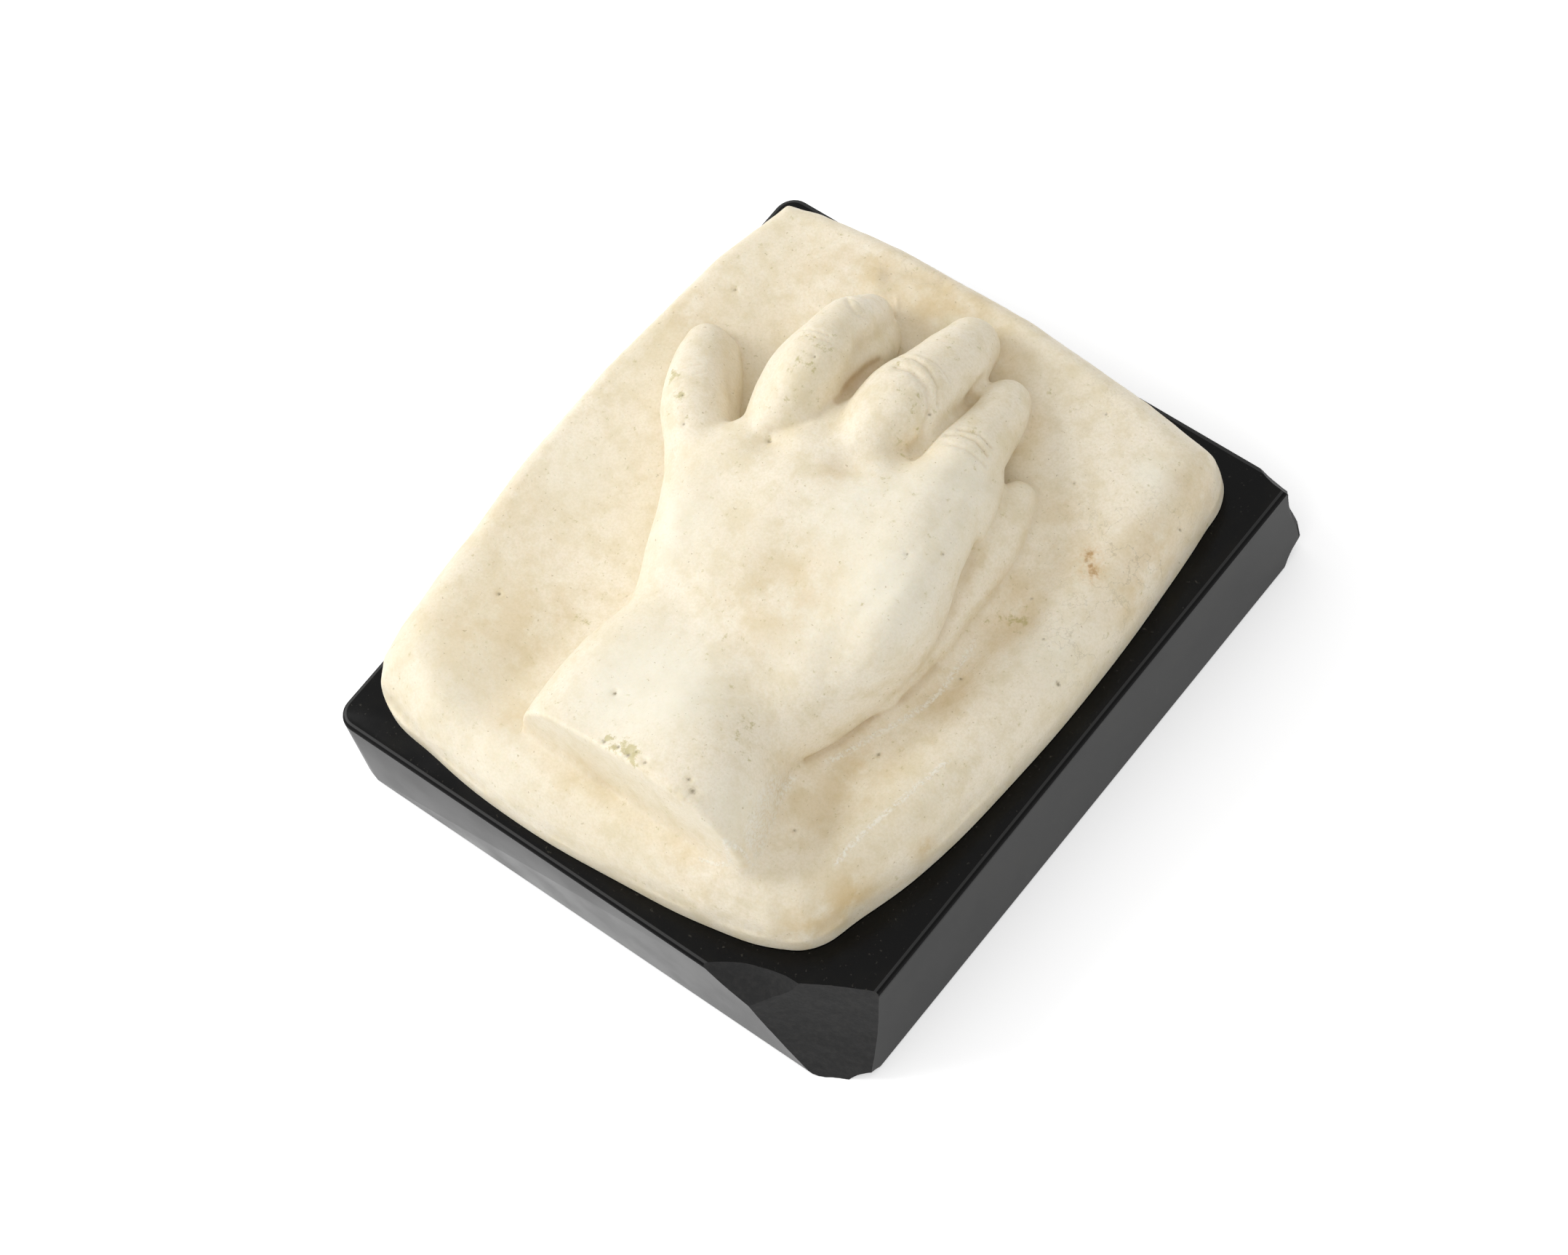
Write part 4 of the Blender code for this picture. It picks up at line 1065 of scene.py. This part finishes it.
def white_floor():
    """Plain white paper: it shows white to the camera, and keeps the object's shadow."""
    deselect()
    bpy.ops.mesh.primitive_plane_add(size=FLOOR_SIZE)
    floor = bpy.context.object
    floor.name = "floor"
    paper, tree, shader = new_material("white_studio_paper")
    rays = add_node(tree, "ShaderNodeLightPath").node.outputs
    seen = rays["Is Camera Ray"]
    for ray in ("Is Glossy Ray", "Is Transmission Ray"):
        seen = add_node(tree, "ShaderNodeMath", {0: seen, 1: rays[ray]}, operation="MAXIMUM")
    glow = add_node(tree, "ShaderNodeMath", {0: seen, 1: FLOOR_GLOW}, operation="MULTIPLY")
    set_inputs(shader, {
        "Base Color": linear("f2f2f2"), "Roughness": 1.0, "Specular IOR Level": 0.0,
        "Emission Color": linear("ffffff"), "Emission Strength": glow,
    })
    floor.data.materials.append(paper)


def studio_light():
    world = bpy.data.worlds.new("studio")
    bpy.context.scene.world = world
    world.use_nodes = True
    background = world.node_tree.nodes["Background"]
    background.inputs["Color"].default_value = linear("ffffff")
    background.inputs["Strength"].default_value = WORLD_LEVEL
    for name, place, size, watts in LAMPS:
        deselect()
        bpy.ops.object.light_add(type="AREA", location=place)
        lamp = bpy.context.object
        lamp.name = name
        lamp.data.size = size
        lamp.data.energy = watts
        lamp.rotation_euler = (Vector(LAMP_AIM) - Vector(place)).to_track_quat("-Z", "Y").to_euler()


def photo_camera():
    """The camera at the photograph's angle, found from the plinth's edges in it."""
    deselect()
    bpy.ops.object.camera_add(
        location=[v * MM for v in CAMERA_PLACE], rotation=[math.radians(a) for a in CAMERA_TURN]
    )
    camera = bpy.context.object
    camera.data.lens = CAMERA_LENS
    camera.data.sensor_width = CAMERA_SENSOR
    camera.data.clip_end = CAMERA_REACH
    bpy.context.scene.camera = camera


def set_finish(obj, finish):
    obj.data.materials.clear()
    obj.data.materials.append(finish)


bpy.context.scene.view_settings.view_transform = "Standard"
photo_camera()
studio_light()
white_floor()

marble = carved_marble()
marble.name = marble.data.name = "marble_hand"
set_finish(marble, honed_marble())
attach(marble, "root")
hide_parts("marble_carving")

slab = black_plinth()
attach(slab, "root")
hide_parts("plinth")

set_finish(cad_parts["plaster_bed"], set_plaster())
brass = drawn_brass()
for name in ("dowel_front", "dowel_rear"):
    set_finish(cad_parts[name], brass)
